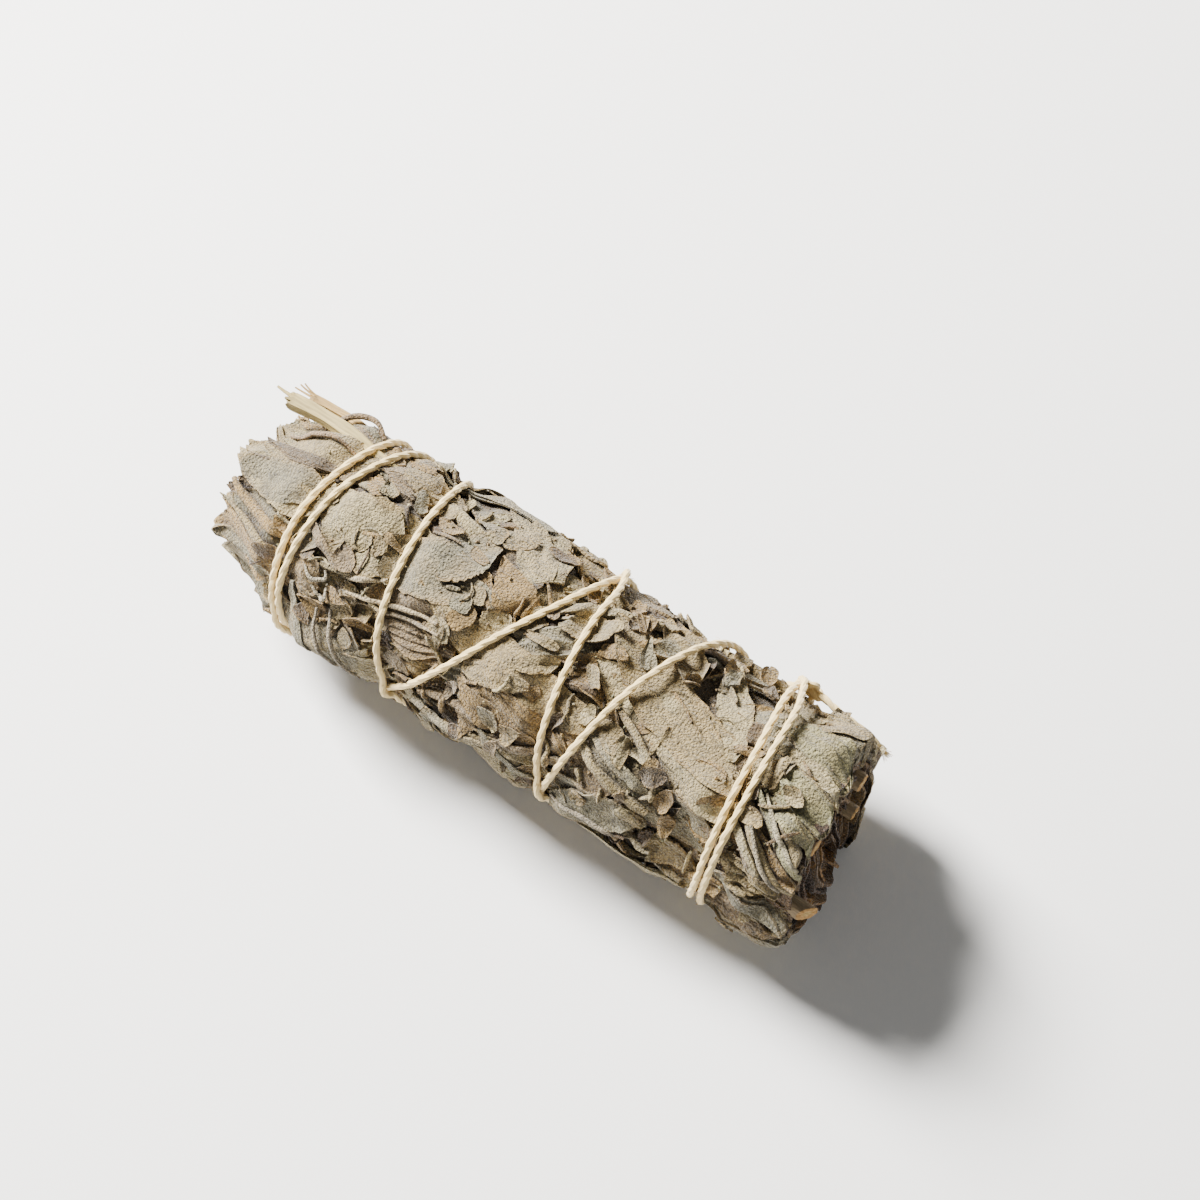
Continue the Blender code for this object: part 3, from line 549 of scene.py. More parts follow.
def shaded_by(tree, colour, value, value_range, shade_range):
    """The colour made darker or lighter by a pattern's value."""
    shade = tree.nodes.new("ShaderNodeMapRange")
    shade.inputs["From Min"].default_value = value_range[0]
    shade.inputs["From Max"].default_value = value_range[1]
    shade.inputs["To Min"].default_value = shade_range[0]
    shade.inputs["To Max"].default_value = shade_range[1]
    tree.links.new(value, shade.inputs["Value"])
    mix = tree.nodes.new("ShaderNodeMix")
    mix.data_type = "RGBA"
    mix.blend_type = "MULTIPLY"
    mix.inputs["Factor"].default_value = 1.0
    tree.links.new(colour, mix.inputs["A"])
    tree.links.new(shade.outputs["Result"], mix.inputs["B"])
    return mix.outputs["Result"]


def raised(tree, surface, height, distance, strength=1.0):
    """Bumps of a pattern's height on the surface, distance in metres."""
    bump = tree.nodes.new("ShaderNodeBump")
    bump.inputs["Strength"].default_value = strength
    bump.inputs["Distance"].default_value = distance
    tree.links.new(height, bump.inputs["Height"])
    tree.links.new(bump.outputs["Normal"], surface.inputs["Normal"])


def felted_leaf():
    """Dull felt with wide blotches and a fine pebbled grain, with painted shade darkening its pits.
    """
    material, tree, surface, colour = toned("dried_sage_leaf", 0.92, 0.18)
    surface.inputs["Sheen Weight"].default_value = 0.25
    surface.inputs["Sheen Roughness"].default_value = 0.6
    place = in_millimetres(tree)
    colour = shaded_by(tree, colour, cloudy(tree, place, 0.55, 5), (0.3, 0.7), (0.70, 1.18))
    pebble = tree.nodes.new("ShaderNodeTexVoronoi")
    pebble.feature = "F1"
    pebble.inputs["Scale"].default_value = 2.3
    tree.links.new(place, pebble.inputs["Vector"])
    rough = tree.nodes.new("ShaderNodeMath")
    rough.operation = "MULTIPLY_ADD"
    rough.inputs[1].default_value = 0.8
    tree.links.new(pebble.outputs["Distance"], rough.inputs[0])
    tree.links.new(cloudy(tree, place, 4.5, 4), rough.inputs[2])
    grain = rough.outputs["Value"]
    # Painted shade: the grain darkens the colour as the shade of its pits
    colour = shaded_by(tree, colour, grain, (0.75, 1.15), (1.26, 0.64))
    tree.links.new(colour, surface.inputs["Base Color"])
    raised(tree, surface, grain, 0.00062)
    return material


leaf_material = felted_leaf()


def shell_faces(rows, columns, sides):
    """Faces of two like sheets of points, the outer one first, walled at the named sides."""
    count = rows * columns
    last = count - columns
    faces = []
    for a in (i * columns + j for i in range(rows - 1) for j in range(columns - 1)):
        faces.append((a, a + 1, a + columns + 1, a + columns))
        b = a + count
        faces.append((b, b + columns, b + columns + 1, b + 1))
    runs = {
        "root": range(columns),
        "right": range(columns - 1, count, columns),
        "tip": range(count - 1, last - 1, -1),
        "left": range(last, -1, -columns),
    }
    for side in sides:
        for a, b in zip(runs[side], runs[side][1:]):
            faces.append((b, a, a + count, b + count))
    return faces


# Leaves that reach past the cut are cut back, and those past the tips are crushed together
PAST_CUT = 0.22
CRUSHED_X = -54.0
CRUSHED_SHARE = 0.6
TABLE_GAP = 0.12


def to_world(x, degrees, out):
    """Points in metres from x, angle and distance from the bundle's axis."""
    turn = np.radians(degrees)
    y = out * np.cos(turn)
    z = AXIS_HEIGHT + out * np.sin(turn)
    return np.stack([x + MIDDLE[0], y + MIDDLE[1], np.maximum(z, TABLE_GAP)], axis=-1) / 1000


def leaf_shell(x, way, level, thickness):
    """Points and faces of a leaf with two faces and a rim, from its upper face."""
    rows, columns = x.shape
    degrees = way / MM_PER_DEGREE
    end = cut_end(degrees)
    x = np.where(x > end, end + PAST_CUT * (x - end), x)
    x = np.where(x < CRUSHED_X, CRUSHED_X + CRUSHED_SHARE * (x - CRUSHED_X), x)
    above = settled(x, way, level)
    below = settled(x, way, level - thickness)
    upper = to_world(x, degrees, girth(x) + above).reshape(-1, 3)
    lower = to_world(x, degrees, girth(x) + below).reshape(-1, 3)
    faces = shell_faces(rows, columns, ("root", "right", "tip", "left"))
    middle = (rows // 2) * columns + columns // 2
    one = upper[middle + 1] - upper[middle]
    two = upper[middle + columns] - upper[middle]
    turn = np.radians(degrees.reshape(-1)[middle])
    outward = np.array([0, math.cos(turn), math.sin(turn)])
    if np.dot(np.cross(one, two), outward) < 0:
        faces = [tuple(reversed(face)) for face in faces]
    return np.concatenate([upper, lower]), faces


# Seven sprigs lie round a middle one, so each leaf is on the sprig that it lies over
SPRIG_COUNT = 8
SPRIGS_ROUND = 7
MIDDLE_SPRIG = 7
MIDDLE_REACH = 6
FIRST_SPRIG = 270.0 - 180.0 / SPRIGS_ROUND - 6.0
sprig_points = [[] for _ in range(SPRIG_COUNT)]
sprig_faces = [[] for _ in range(SPRIG_COUNT)]
sprig_colours = [[] for _ in range(SPRIG_COUNT)]
sprig_counts = [0] * SPRIG_COUNT


def sprig_at(degrees):
    return int(((degrees - FIRST_SPRIG) % 360) / 360 * SPRIGS_ROUND) % SPRIGS_ROUND


def add_to_sprig(index, points, faces, colours):
    start = sprig_counts[index]
    sprig_points[index].append(points)
    sprig_colours[index].append(colours)
    sprig_faces[index] += [tuple(start + k for k in face) for face in faces]
    sprig_counts[index] += len(points)


# Painted shade: what lies deep under the blurred top of the leaves is darker and redder. Painted
# highlight: what stands out over it is paler. Each leaf's lower face gets painted shade too.
DEEP_SHADE = np.array((0.72, 0.80, 0.88))
RAISED_HIGHLIGHT = 0.26
UNDERSIDE_SHADE = 0.85
for x, way, level, colour in laid_leaves:
    points, faces = leaf_shell(x, way, level, LEAF_THICKNESS)
    depth = read_grid(top, x, way) - level
    deep = smooth((depth - 0.1) / 1.7)[..., None]
    raised_highlight = smooth((-depth - 0.1) / 0.9)[..., None]
    shaded = colour * (1 - deep * DEEP_SHADE) * (1 + RAISED_HIGHLIGHT * raised_highlight)
    shaded = np.clip(shaded, 0.01, 1).reshape(-1, 3)
    sprig = sprig_at(float(np.mean(way)) / MM_PER_DEGREE)
    # The lower face takes the painted shade of UNDERSIDE_SHADE
    add_to_sprig(sprig, points, faces, np.concatenate([shaded, shaded * UNDERSIDE_SHADE]))

# The tip end's inner leaves.
# The tips of the leaves inside the bundle show at its -X end, standing in rings like a bud, with
# dark gaps. They grow on the sprigs and only their last centimetre is seen.
# Each ring is its distance from the axis and its number of leaves.
BUD_RINGS = ((13.6, 13), (11.4, 11), (9.2, 9), (7.0, 8), (4.8, 6), (2.6, 4), (1.0, 2))
BUD_ROWS = 14
BUD_COLUMNS = 9
BUD_START = -38.0
BUD_THICKNESS = 0.4


def open_shell_faces(rows, columns):
    """Faces of a leaf that is open at its root, which is out of sight."""
    count = rows * columns
    faces = shell_faces(rows, columns, ("left", "tip"))
    for a in range(columns - 1, count - columns, columns):
        faces.append((a, a + count, a + columns + count, a + columns))
    return faces


def bud_leaf(ring, turn):
    """Adds one leaf that stands along the bundle's axis, hollow side in."""
    u = np.linspace(0, 1, BUD_ROWS)[:, None]
    v = np.linspace(-1, 1, BUD_COLUMNS)[None, :]
    length = chance.uniform(14, 18.5)
    width = chance.uniform(6.5, 9) * (0.6 if ring < 5 else 1)
    half = width / 2 * np.interp(u, *LEAF_FORMS[chance.choice(FLAT_FORMS)])
    x = BUD_START - length * u + 0.6 * wander(chance, 3 * v + 0 * u, u, 2, 0.8, 2)
    out = ring + chance.uniform(-0.6, 0.6) - 2.2 * u**2 * (ring / 14)
    out = out + 0.5 * wander(chance, 6 * u, 3 * v, 3, 0.6, 1.4) - 0.10 * half * v**2
    out = np.maximum(out, 0.4)
    degrees = turn + np.degrees(half * v / max(ring, 2.2))
    upper = to_world(x, degrees, out).reshape(-1, 3)
    lower = to_world(x, degrees, out - BUD_THICKNESS).reshape(-1, 3)
    faces = open_shell_faces(BUD_ROWS, BUD_COLUMNS)
    faces = [face[:1] + face[:0:-1] for face in faces]
    tone = LEAF_TONES[chance.choice((WARM, PALE, COOL, TAN, MAUVE))]
    # Painted shade: each tip is darker towards its root deep in the bud, and its inner face darker
    # still
    shade = np.repeat(0.35 + 0.6 * u, BUD_COLUMNS, axis=1).reshape(-1, 1)
    colours = np.concatenate([tone * shade, tone * shade * 0.8])
    sprig = MIDDLE_SPRIG if ring < MIDDLE_REACH else sprig_at(turn)
    add_to_sprig(sprig, np.concatenate([upper, lower]), faces, colours)


for ring, count in BUD_RINGS:
    for i in range(count):
        bud_leaf(ring, 360 / count * i + chance.uniform(-14, 14))

# The cut end.
# The bundle is cut nearly square across at its +X end, so the leaves show there as
# thin wavy edges in rings, browner than their faces. A pressed mass, dark with painted shade,
# fills what is behind.
CUT_RINGS = 11
CUT_FIRST_RING = 2.2
CUT_RING_STEP = 1.22
CUT_START = 44.0
CUT_ROWS = 4
CUT_EDGE = 0.25
CUT_TINT = np.array((1.05, 0.85, 0.62))


def cut_leaf(ring, start, sweep):
    """Adds one leaf cut across, which runs sweep degrees round the axis from start."""
    columns = max(6, int(sweep * ring / 57 / 0.8))
    u = np.linspace(0, 1, CUT_ROWS)[:, None]
    v = np.linspace(0, 1, columns)[None, :]
    x = CUT_START + (cut_end(start + sweep * v) - CUT_START + chance.uniform(-1.6, 0.7)) * u
    x = x + 0.25 * wander(chance, 0 * u, 9 * v, 2, 0.6, 1.8) * u
    out = ring + 0.42 * wander(chance, 1.5 * u, ring * v, 3, 0.7, 1.9)
    degrees = start + sweep * v + 0 * u
    upper = to_world(x + 0 * v, degrees, out + CUT_EDGE).reshape(-1, 3)
    lower = to_world(x + 0 * v, degrees, out - CUT_EDGE).reshape(-1, 3)
    tone = LEAF_TONES[chance.choice((TAN, WARM, DARK, MAUVE, TAN))]
    tone = tone * CUT_TINT * chance.uniform(0.6, 1.1)
    colours = np.repeat(tone[None, :], 2 * CUT_ROWS * columns, axis=0)
    sprig = MIDDLE_SPRIG if ring < MIDDLE_REACH else sprig_at(start + sweep / 2)
    faces = open_shell_faces(CUT_ROWS, columns)
    add_to_sprig(sprig, np.concatenate([upper, lower]), faces, colours)


for ring in (CUT_FIRST_RING + CUT_RING_STEP * i for i in range(CUT_RINGS)):
    turn = chance.uniform(0, 360)
    laid = 0.0
    while laid < 350:
        sweep = chance.uniform(35, 110) * min(1.0, 7 / ring + 0.35)
        cut_leaf(ring, turn + laid, sweep)
        laid += sweep + chance.uniform(-8, 6)

# Petioles and crumbs.
# Thin leaf stalks and curled shreds lie on the leaves, and crumbs of broken leaf fill the cracks.
# The string and the felt of the leaves hold them. Marks are x, angle and height over the leaves.
STRANDS = (
    (((-31.5, 129, 0), (-28, 123, 0.2), (-24.5, 117, 0)), 0.50, (0.42, 0.335, 0.19)),
    (((-29.5, 134, 0), (-24, 129, 0.3), (-19, 124, 0.1), (-14, 121, 0)), 0.42, (0.40, 0.31, 0.17)),
    (((-28, 137, 0), (-20, 130, 0.1), (-13, 125, 0)), 0.36, (0.30, 0.23, 0.13)),
    (((-31, 150, 0), (-29, 160, 0.9), (-27, 170, 0.6), (-24, 181, 0)), 0.40, (0.30, 0.25, 0.17)),
    (((-33, 152, 0), (-32, 163, 0.8), (-29, 173, 0.5), (-27, 182, 0)), 0.36, (0.28, 0.23, 0.15)),
    (((-37, 133, 0), (-35, 137, 0.9), (-33, 134, 1.2), (-34, 130, 0.4)), 0.34, (0.36, 0.31, 0.21)),
    (((-35, 141, 0), (-33, 145, 0.8), (-31.5, 141, 1.0), (-33, 138, 0.2)), 0.32, (0.34, 0.29, 0.19)),
    (((-40.5, 40, 0), (-44, 37, 1.0), (-47.5, 40, 1.6), (-50, 47, 1.0)), 0.55, (0.20, 0.13, 0.06)),
    (((-41, 66, 0), (-46, 68, 0.8), (-50, 66, 0.9), (-53, 61, 0.4)), 0.45, (0.26, 0.17, 0.08)),
    (((41, 104, 0), (46, 118, 0.2), (51, 128, 0)), 0.45, (0.36, 0.31, 0.19)),
    (((42, 120, 0), (46, 134, 0.3), (50, 143, 0)), 0.40, (0.30, 0.25, 0.16)),
    (((12, 176, 0), (20, 171, 0.2), (29, 177, 0)), 0.40, (0.28, 0.23, 0.15)),
)
STRAND_POINTS = 26
STRAND_SIDES = 8
STRAND_GAP = 0.06
SHRED_COUNT = 70
SHRED_STEP = 1.3
CRUMB_COUNT = 1100
CRUMB_GAP = 0.05
CRUMB_FACES = (
    (0, 4, 2), (0, 2, 5), (0, 5, 3), (0, 3, 4), (1, 2, 4), (1, 5, 2), (1, 3, 5), (1, 4, 3),
)
CRUMB_X = (-48, 47)
even_top = blurred(stack, HOLLOW_WIDTH)


def add_tube(points, faces, line, radius, sides):
    """Adds a closed tube along a line to the lists. radius is one value or one for each point."""
    start = len(points)
    count = len(line)
    way = np.gradient(line, axis=0)
    way /= np.linalg.norm(way, axis=1)[:, None]
    side = np.cross(way[0], (0.3, 0.5, 0.8))
    radii = np.broadcast_to(radius, (count,))
    for k in range(count):
        side = side - way[k] * np.dot(side, way[k])
        side = side / np.linalg.norm(side)
        other = np.cross(way[k], side)
        for i in range(sides):
            turn = 2 * math.pi * i / sides
            points.append(line[k] + radii[k] * (math.cos(turn) * side + math.sin(turn) * other))
    for k in range(count - 1):
        for i in range(sides):
            a = start + k * sides + i
            b = start + k * sides + (i + 1) % sides
            faces.append((a, b, b + sides, a + sides))
    faces.append(tuple(start + i for i in reversed(range(sides))))
    faces.append(tuple(start + (count - 1) * sides + i for i in range(sides)))


def on_the_leaves(x, angle):
    """How far the topmost leaf is from the bundle's axis."""
    x, way = np.array(x), np.array(angle) * MM_PER_DEGREE
    return girth(x) + settled(x, way, read_grid(stack, x, way))


def lay_strand(marks, radius, tone):
    """A thin tube that lies along its marks, tapered at both ends."""
    marks = np.array(marks, dtype=float)
    at = np.linspace(0, len(marks) - 1, STRAND_POINTS)
    place = np.arange(len(marks))
    x, angle, lift = [np.interp(at, place, marks[:, k]) for k in range(3)]
    for _ in range(6):
        for values in (x, angle, lift):
            values[1:-1] = 0.25 * values[:-2] + 0.5 * values[1:-1] + 0.25 * values[2:]
    out = on_the_leaves(x, angle) + 0.5 * radius + lift
    for _ in range(4):
        out[1:-1] = 0.25 * out[:-2] + 0.5 * out[1:-1] + 0.25 * out[2:]
    line = to_world(x, angle, out) * 1000
    points = []
    faces = []
    share = np.linspace(0, 1, STRAND_POINTS)
    thick = radius * (0.45 + 0.55 * np.sin(math.pi * np.clip(share, 0.12, 0.88)))
    add_tube(points, faces, line, thick, STRAND_SIDES)
    colours = np.repeat(np.array(tone)[None, :], len(points), axis=0)
    points = np.array(points)
    points[:, 2] = np.maximum(points[:, 2], STRAND_GAP)
    add_to_sprig(sprig_at(float(np.mean(angle))), points / 1000, faces, colours)


def lay_shred():
    """A short curled shred that starts in a hollow and wanders."""
    x, angle = hollow_spot(stack, even_top, chance, 8, CRUMB_X)
    marks = [(x, angle, 0.0)]
    heading = chance.uniform(0, 2 * math.pi)
    for step in range(3):
        heading += chance.uniform(-0.9, 0.9)
        x += SHRED_STEP * math.cos(heading)
        angle += SHRED_STEP * math.sin(heading) / MM_PER_DEGREE
        marks.append((x, angle, chance.uniform(0, 0.6) if step < 2 else 0.0))
    tone = LEAF_TONES[chance.choice((TAN, WARM, PALE, DARK))] * chance.uniform(0.8, 1.25)
    lay_strand(marks, chance.uniform(0.16, 0.36), tuple(tone))


def lay_crumb():
    """A crumb with six uneven corners, in a hollow."""
    x, angle = hollow_spot(stack, even_top, chance, 8, CRUMB_X)
    size = chance.uniform(0.16, 0.45)
    centre = to_world(x, np.array(angle), on_the_leaves(x, angle) + 0.3 * size)
    points = []
    for axis in range(3):
        for sign in (-1, 1):
            point = several(chance, -0.35, 0.35, 3)
            point[axis] = sign * chance.uniform(0.6, 1.2)
            points.append(centre + point * size / 1000)
    points = np.array(points)
    points[:, 2] = np.maximum(points[:, 2], CRUMB_GAP / 1000)
    tone = LEAF_TONES[chance.choice((TAN, WARM, PALE, TAN, GREEN))] * chance.uniform(0.8, 1.3)
    add_to_sprig(sprig_at(angle), points, CRUMB_FACES, np.repeat(tone[None, :], 6, axis=0))


for marks, radius, tone in STRANDS:
    lay_strand(marks, radius, tone)
for _ in range(SHRED_COUNT):
    lay_shred()
for _ in range(CRUMB_COUNT):
    lay_crumb()

# The pressed mass inside.
# Under the leaves that show, others are pressed too tight to tell apart, here a rough mass
# painted dark with the shade that fills the gaps between them. It grows on the middle sprig and
# fills the bundle from end to end, a little under the leaves.
MASS_SIDES = 90
MASS_ROWS = 76
MASS_ENDS = (-43.0, 48.2)
MASS_DEPTH = 1.35
# Painted shade: the mass is as dark as the gaps between the leaves
MASS_SHADE_COLOUR = (0.105, 0.072, 0.036)
mass_angle, mass_x = np.meshgrid(
    360 / MASS_SIDES * np.arange(MASS_SIDES), np.linspace(MASS_ENDS[0], MASS_ENDS[1], MASS_ROWS)
)
mass_way = mass_angle * MM_PER_DEGREE
mass_level = settled(mass_x, mass_way, read_grid(top, mass_x, mass_way)) - MASS_DEPTH
mass_level = mass_level - 3.0 * smooth((-40 - mass_x) / 3) - 1.0 * smooth((mass_x - 46) / 2)
mass_level = mass_level + 0.12 * wander(chance, 2 * mass_x, 2 * mass_way, 4, 0.6, 1.6)
mass_points = to_world(mass_x, mass_angle, girth(mass_x) + mass_level).reshape(-1, 3)
mass_faces = []
for row in range(MASS_ROWS - 1):
    for i in range(MASS_SIDES):
        a = row * MASS_SIDES + i
        b = row * MASS_SIDES + (i + 1) % MASS_SIDES
        mass_faces.append((a, a + MASS_SIDES, b + MASS_SIDES, b))
mass_last = (MASS_ROWS - 1) * MASS_SIDES
mass_faces.append(tuple(range(MASS_SIDES)))
mass_faces.append(tuple(reversed(range(mass_last, mass_last + MASS_SIDES))))
mass_shade_colours = np.repeat(np.array([MASS_SHADE_COLOUR]), len(mass_points), axis=0)
add_to_sprig(MIDDLE_SPRIG, mass_points, mass_faces, mass_shade_colours)

# Edges that turn more than this stay sharp
CREASE = math.radians(48)


def build_mesh(name, points, faces, colours, material):
    """A smooth-shaded object whose points carry their own colour."""
    mesh = bpy.data.meshes.new(name)
    mesh.from_pydata([tuple(p) for p in points], [], faces)
    tone = mesh.attributes.new("tone", "FLOAT_COLOR", "POINT")
    rgba = np.ones((len(points), 4), dtype=np.float32)
    rgba[:, :3] = colours
    tone.data.foreach_set("color", rgba.ravel())
    mesh.shade_smooth()
    mesh.set_sharp_from_angle(angle=CREASE)
    mesh.materials.append(material)
    piece = bpy.data.objects.new(name, mesh)
    bpy.context.scene.collection.objects.link(piece)
    return piece


for index in range(SPRIG_COUNT):
    node = "sprig_%d_leaves" % (index + 1)
    leaves = build_mesh(
        node + "_fine",
        np.concatenate(sprig_points[index]),
        sprig_faces[index],
        np.concatenate(sprig_colours[index]),
        leaf_material,
    )
    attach(leaves, "root")
    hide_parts(node)

# The string.
# Two-ply twisted cotton, cream, 1.3 mm thick, pulled tight on the leaves. Each ply is a strand
# that winds round the other, and short loose fibres stand off it. Its knot is on the far side.
PLY_RADIUS = 0.46
PLY_OFFSET = 0.145
PLY_PITCH = 5.0
PLY_STEP = 0.42
PLY_SIDES = 7
CROSSING_RISE = 1.12
STRING_LOWEST = 0.82
STRING_STEP = 1.1
STRING_GAP = 0.04
STRING_COLOUR = (0.75, 0.575, 0.275)


def string_line():
    """The string's middle line in mm, over the leaves and over itself where it crosses."""
    x, angle = string_way(STRING_STEP)
    lift = np.zeros(len(x))
    way = angle * MM_PER_DEGREE
    for i in range(len(x)):
        earlier = np.nonzero(way < way[i] - ROUND / 2)[0]
        if not len(earlier):
            continue
        gap_way = (way[i] - way[earlier] + ROUND / 2) % ROUND - ROUND / 2
        gap = np.hypot(gap_way, x[i] - x[earlier])
        nearest = float(gap.min())
        lift[i] = CROSSING_RISE * (1 - smooth((nearest - 0.5) / 0.9))
    for _ in range(7):
        wide = np.pad(lift, 1, mode="edge")
        lift = np.maximum(lift, 0.5 * (wide[:-2] + wide[2:]) * 0.93)
    out = girth(x) + STRING_OUT + lift
    out = out + 0.05 * np.sin(angle * 0.11) + 0.04 * np.sin(angle * 0.053)
    y = out * np.cos(np.radians(angle))
    z = np.maximum(AXIS_HEIGHT + out * np.sin(np.radians(angle)), STRING_LOWEST)
    return np.stack([x, y, z], axis=-1)


def resampled(line, step):
    run = np.concatenate([[0], np.cumsum(np.linalg.norm(np.diff(line, axis=0), axis=1))])
    at = np.linspace(0, run[-1], int(run[-1] / step) + 1)
    return np.stack([np.interp(at, run, line[:, k]) for k in range(3)], axis=-1), at


def add_plies(points, faces, line, phase):
    """Two strands that wind round each other along the line."""
    line, at = resampled(line, PLY_STEP)
    way = np.gradient(line, axis=0)
    way /= np.linalg.norm(way, axis=1)[:, None]
    out = line - np.array((0, 0, AXIS_HEIGHT))
    out[:, 0] = 0
    out = out - way * np.sum(out * way, axis=1)[:, None]
    out /= np.linalg.norm(out, axis=1)[:, None]
    across = np.cross(way, out)
    for ply in (0, math.pi):
        turn = (2 * math.pi * at / PLY_PITCH + ply + phase)[:, None]
        centre = line + PLY_OFFSET * (np.cos(turn) * out + np.sin(turn) * across)
        thick = PLY_RADIUS * (1 + 0.05 * np.sin(at * 1.7 + ply) + 0.04 * np.sin(at * 0.63))
        add_tube(points, faces, centre, thick, PLY_SIDES)


string_points = []
string_faces = []
main_line = string_line()
add_plies(string_points, string_faces, main_line, 0.0)

# The knot: a flattened overhand knot and two frayed tails, where the two ends of the string meet
KNOT_X = 35.1
KNOT_ANGLE = 8.0
KNOT_RISE = 1.0
KNOT_LENGTH = 2.3
KNOT_WIDTH = 1.9
KNOT_WEAVE = 0.62
KNOT_POINTS = 60
TAIL_REACH = 12.5
TAIL_POINTS = 24
FRAY_COUNT = 26
FRAY_LENGTH = 3.2
FRAY_RADIUS = 0.05
FIBRE_SIDES = 3


def knot_line():
    """Three crossing loops of a flat overhand knot."""
    out = float(girth(KNOT_X)) + STRING_OUT + KNOT_RISE
    turn = math.radians(KNOT_ANGLE)
    away = np.array((0, math.cos(turn), math.sin(turn)))
    down = np.array((0, math.sin(turn), -math.cos(turn)))
    centre = np.array((KNOT_X, 0, AXIS_HEIGHT)) + out * away
    line = []
    for t in np.linspace(0, 2 * math.pi * 0.97, KNOT_POINTS):
        a = KNOT_LENGTH * (math.sin(t) + 2 * math.sin(2 * t)) / 3
        b = KNOT_WIDTH * (math.cos(t) - 2 * math.cos(2 * t)) / 3
        c = -KNOT_WEAVE * math.sin(3 * t)
        line.append(centre + np.array((a, 0, 0)) + b * down + c * away)
    return np.array(line)


def tail_line(sign):
    """A tail that leaves the knot and settles on the leaves."""
    line = []
    for share in np.linspace(0, 1, TAIL_POINTS):
        x = KNOT_X + sign * (0.6 + TAIL_REACH * share)
        degrees = KNOT_ANGLE + sign * 10 * math.sin(2.6 * share) - 16 * share
        out = float(girth(x)) + STRING_OUT + KNOT_RISE * (1 - float(smooth(share / 0.5)))
        turn = math.radians(degrees)
        line.append((x, out * math.cos(turn), AXIS_HEIGHT + out * math.sin(turn)))
    return np.array(line)


add_plies(string_points, string_faces, knot_line(), 0.8)
for sign in (-1, 1):
    tail = tail_line(sign)
    add_plies(string_points, string_faces, tail, 0.3)
    for _ in range(FRAY_COUNT):
        lean = np.array([chance.gauss(0, 0.5) for _ in range(3)])
        last = tail[-1] - tail[-3]
        last = last / np.linalg.norm(last)
        fray = [tail[-2] + s * FRAY_LENGTH * last + lean * s * s for s in np.linspace(0, 1, 5)]
        add_tube(string_points, string_faces, np.array(fray), FRAY_RADIUS, FIBRE_SIDES)

# Loose fibres along the whole string
FIBRE_COUNT = 900
FIBRE_RADIUS = 0.022
fibre_line, _ = resampled(main_line, 0.5)
for _ in range(FIBRE_COUNT):
    k = chance.randrange(2, len(fibre_line) - 3)
    base = fibre_line[k]
    away = np.array([chance.gauss(0, 1) for _ in range(3)])
    along = fibre_line[k + 1] - fibre_line[k]
    along = along / np.linalg.norm(along)
    away = away - along * np.dot(away, along)
    away = away / np.linalg.norm(away)
    reach = chance.uniform(0.5, 1.3)
    bend = chance.uniform(-1.6, 1.6)
    fibre = [base + away * (0.6 + 0.35 * reach * s) + along * bend * s * s for s in (0, 0.5, 1)]
    add_tube(string_points, string_faces, np.array(fibre), FIBRE_RADIUS, FIBRE_SIDES)


def in_metres(points):
    """Points in metres from points in millimetres, whose x and y count from the bundle's axis."""
    return (np.array(points) + np.array((MIDDLE[0], MIDDLE[1], 0))) / 1000


def twisted_cotton():
    """Cream cotton with a fine fibrous bump and a soft sheen."""
    material, tree, surface, colour = toned("cotton_string", 0.85, 0.2)
    surface.inputs["Sheen Weight"].default_value = 0.3
    tree.links.new(colour, surface.inputs["Base Color"])
    place = in_millimetres(tree)
    raised(tree, surface, cloudy(tree, place, 5.2, 3), 0.00012, strength=0.5)
    return material


string_world = in_metres(string_points)
string_world[:, 2] = np.maximum(string_world[:, 2], STRING_GAP / 1000)
string_colours = np.repeat(np.array([STRING_COLOUR]), len(string_world), axis=0)
string_piece = build_mesh(
    "cotton_string_fine", string_world, string_faces, string_colours, twisted_cotton()
)
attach(string_piece, "root")
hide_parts("cotton_string")

# The woody stems.
# Each sprig grows on one thin square-ish woody stem, cut with the leaves at the +X end, where its
# orange-tan wood shows. The numbers are its angle, its distance from the axis and its radius.
STEMS = (
    (272, 10.5, 1.5),
    (322, 10.8, 1.3),
    (13, 10.4, 1.6),
    (64, 10.6, 1.4),
    (116, 10.8, 1.7),
    (160, 13.3, 1.5),
    (219, 10.6, 1.4),
    (60, 1.2, 1.7),
)
STEM_SIDES = 28
SHOWN_STEM = 5
BARK_RINGS = 5
BARK_COLOUR = (0.27, 0.20, 0.115)
WOOD_COLOUR = (0.36, 0.20, 0.06)
PITH_COLOUR = (0.45, 0.315, 0.125)


def fibrous(name, roughness, stretch, contrast, depth):
    """Wood or straw in the points' own colours, with fine raised fibres that run along X."""
    material, tree, surface, colour = toned(name, roughness, 0.3)
    fibre = cloudy(tree, in_millimetres(tree, stretch), 3.2, 4)
    shades = (1 - contrast, 1 + 0.5 * contrast)
    colour = shaded_by(tree, colour, fibre, (0.3, 0.7), shades)
    tree.links.new(colour, surface.inputs["Base Color"])
    raised(tree, surface, fibre, depth)
    return material


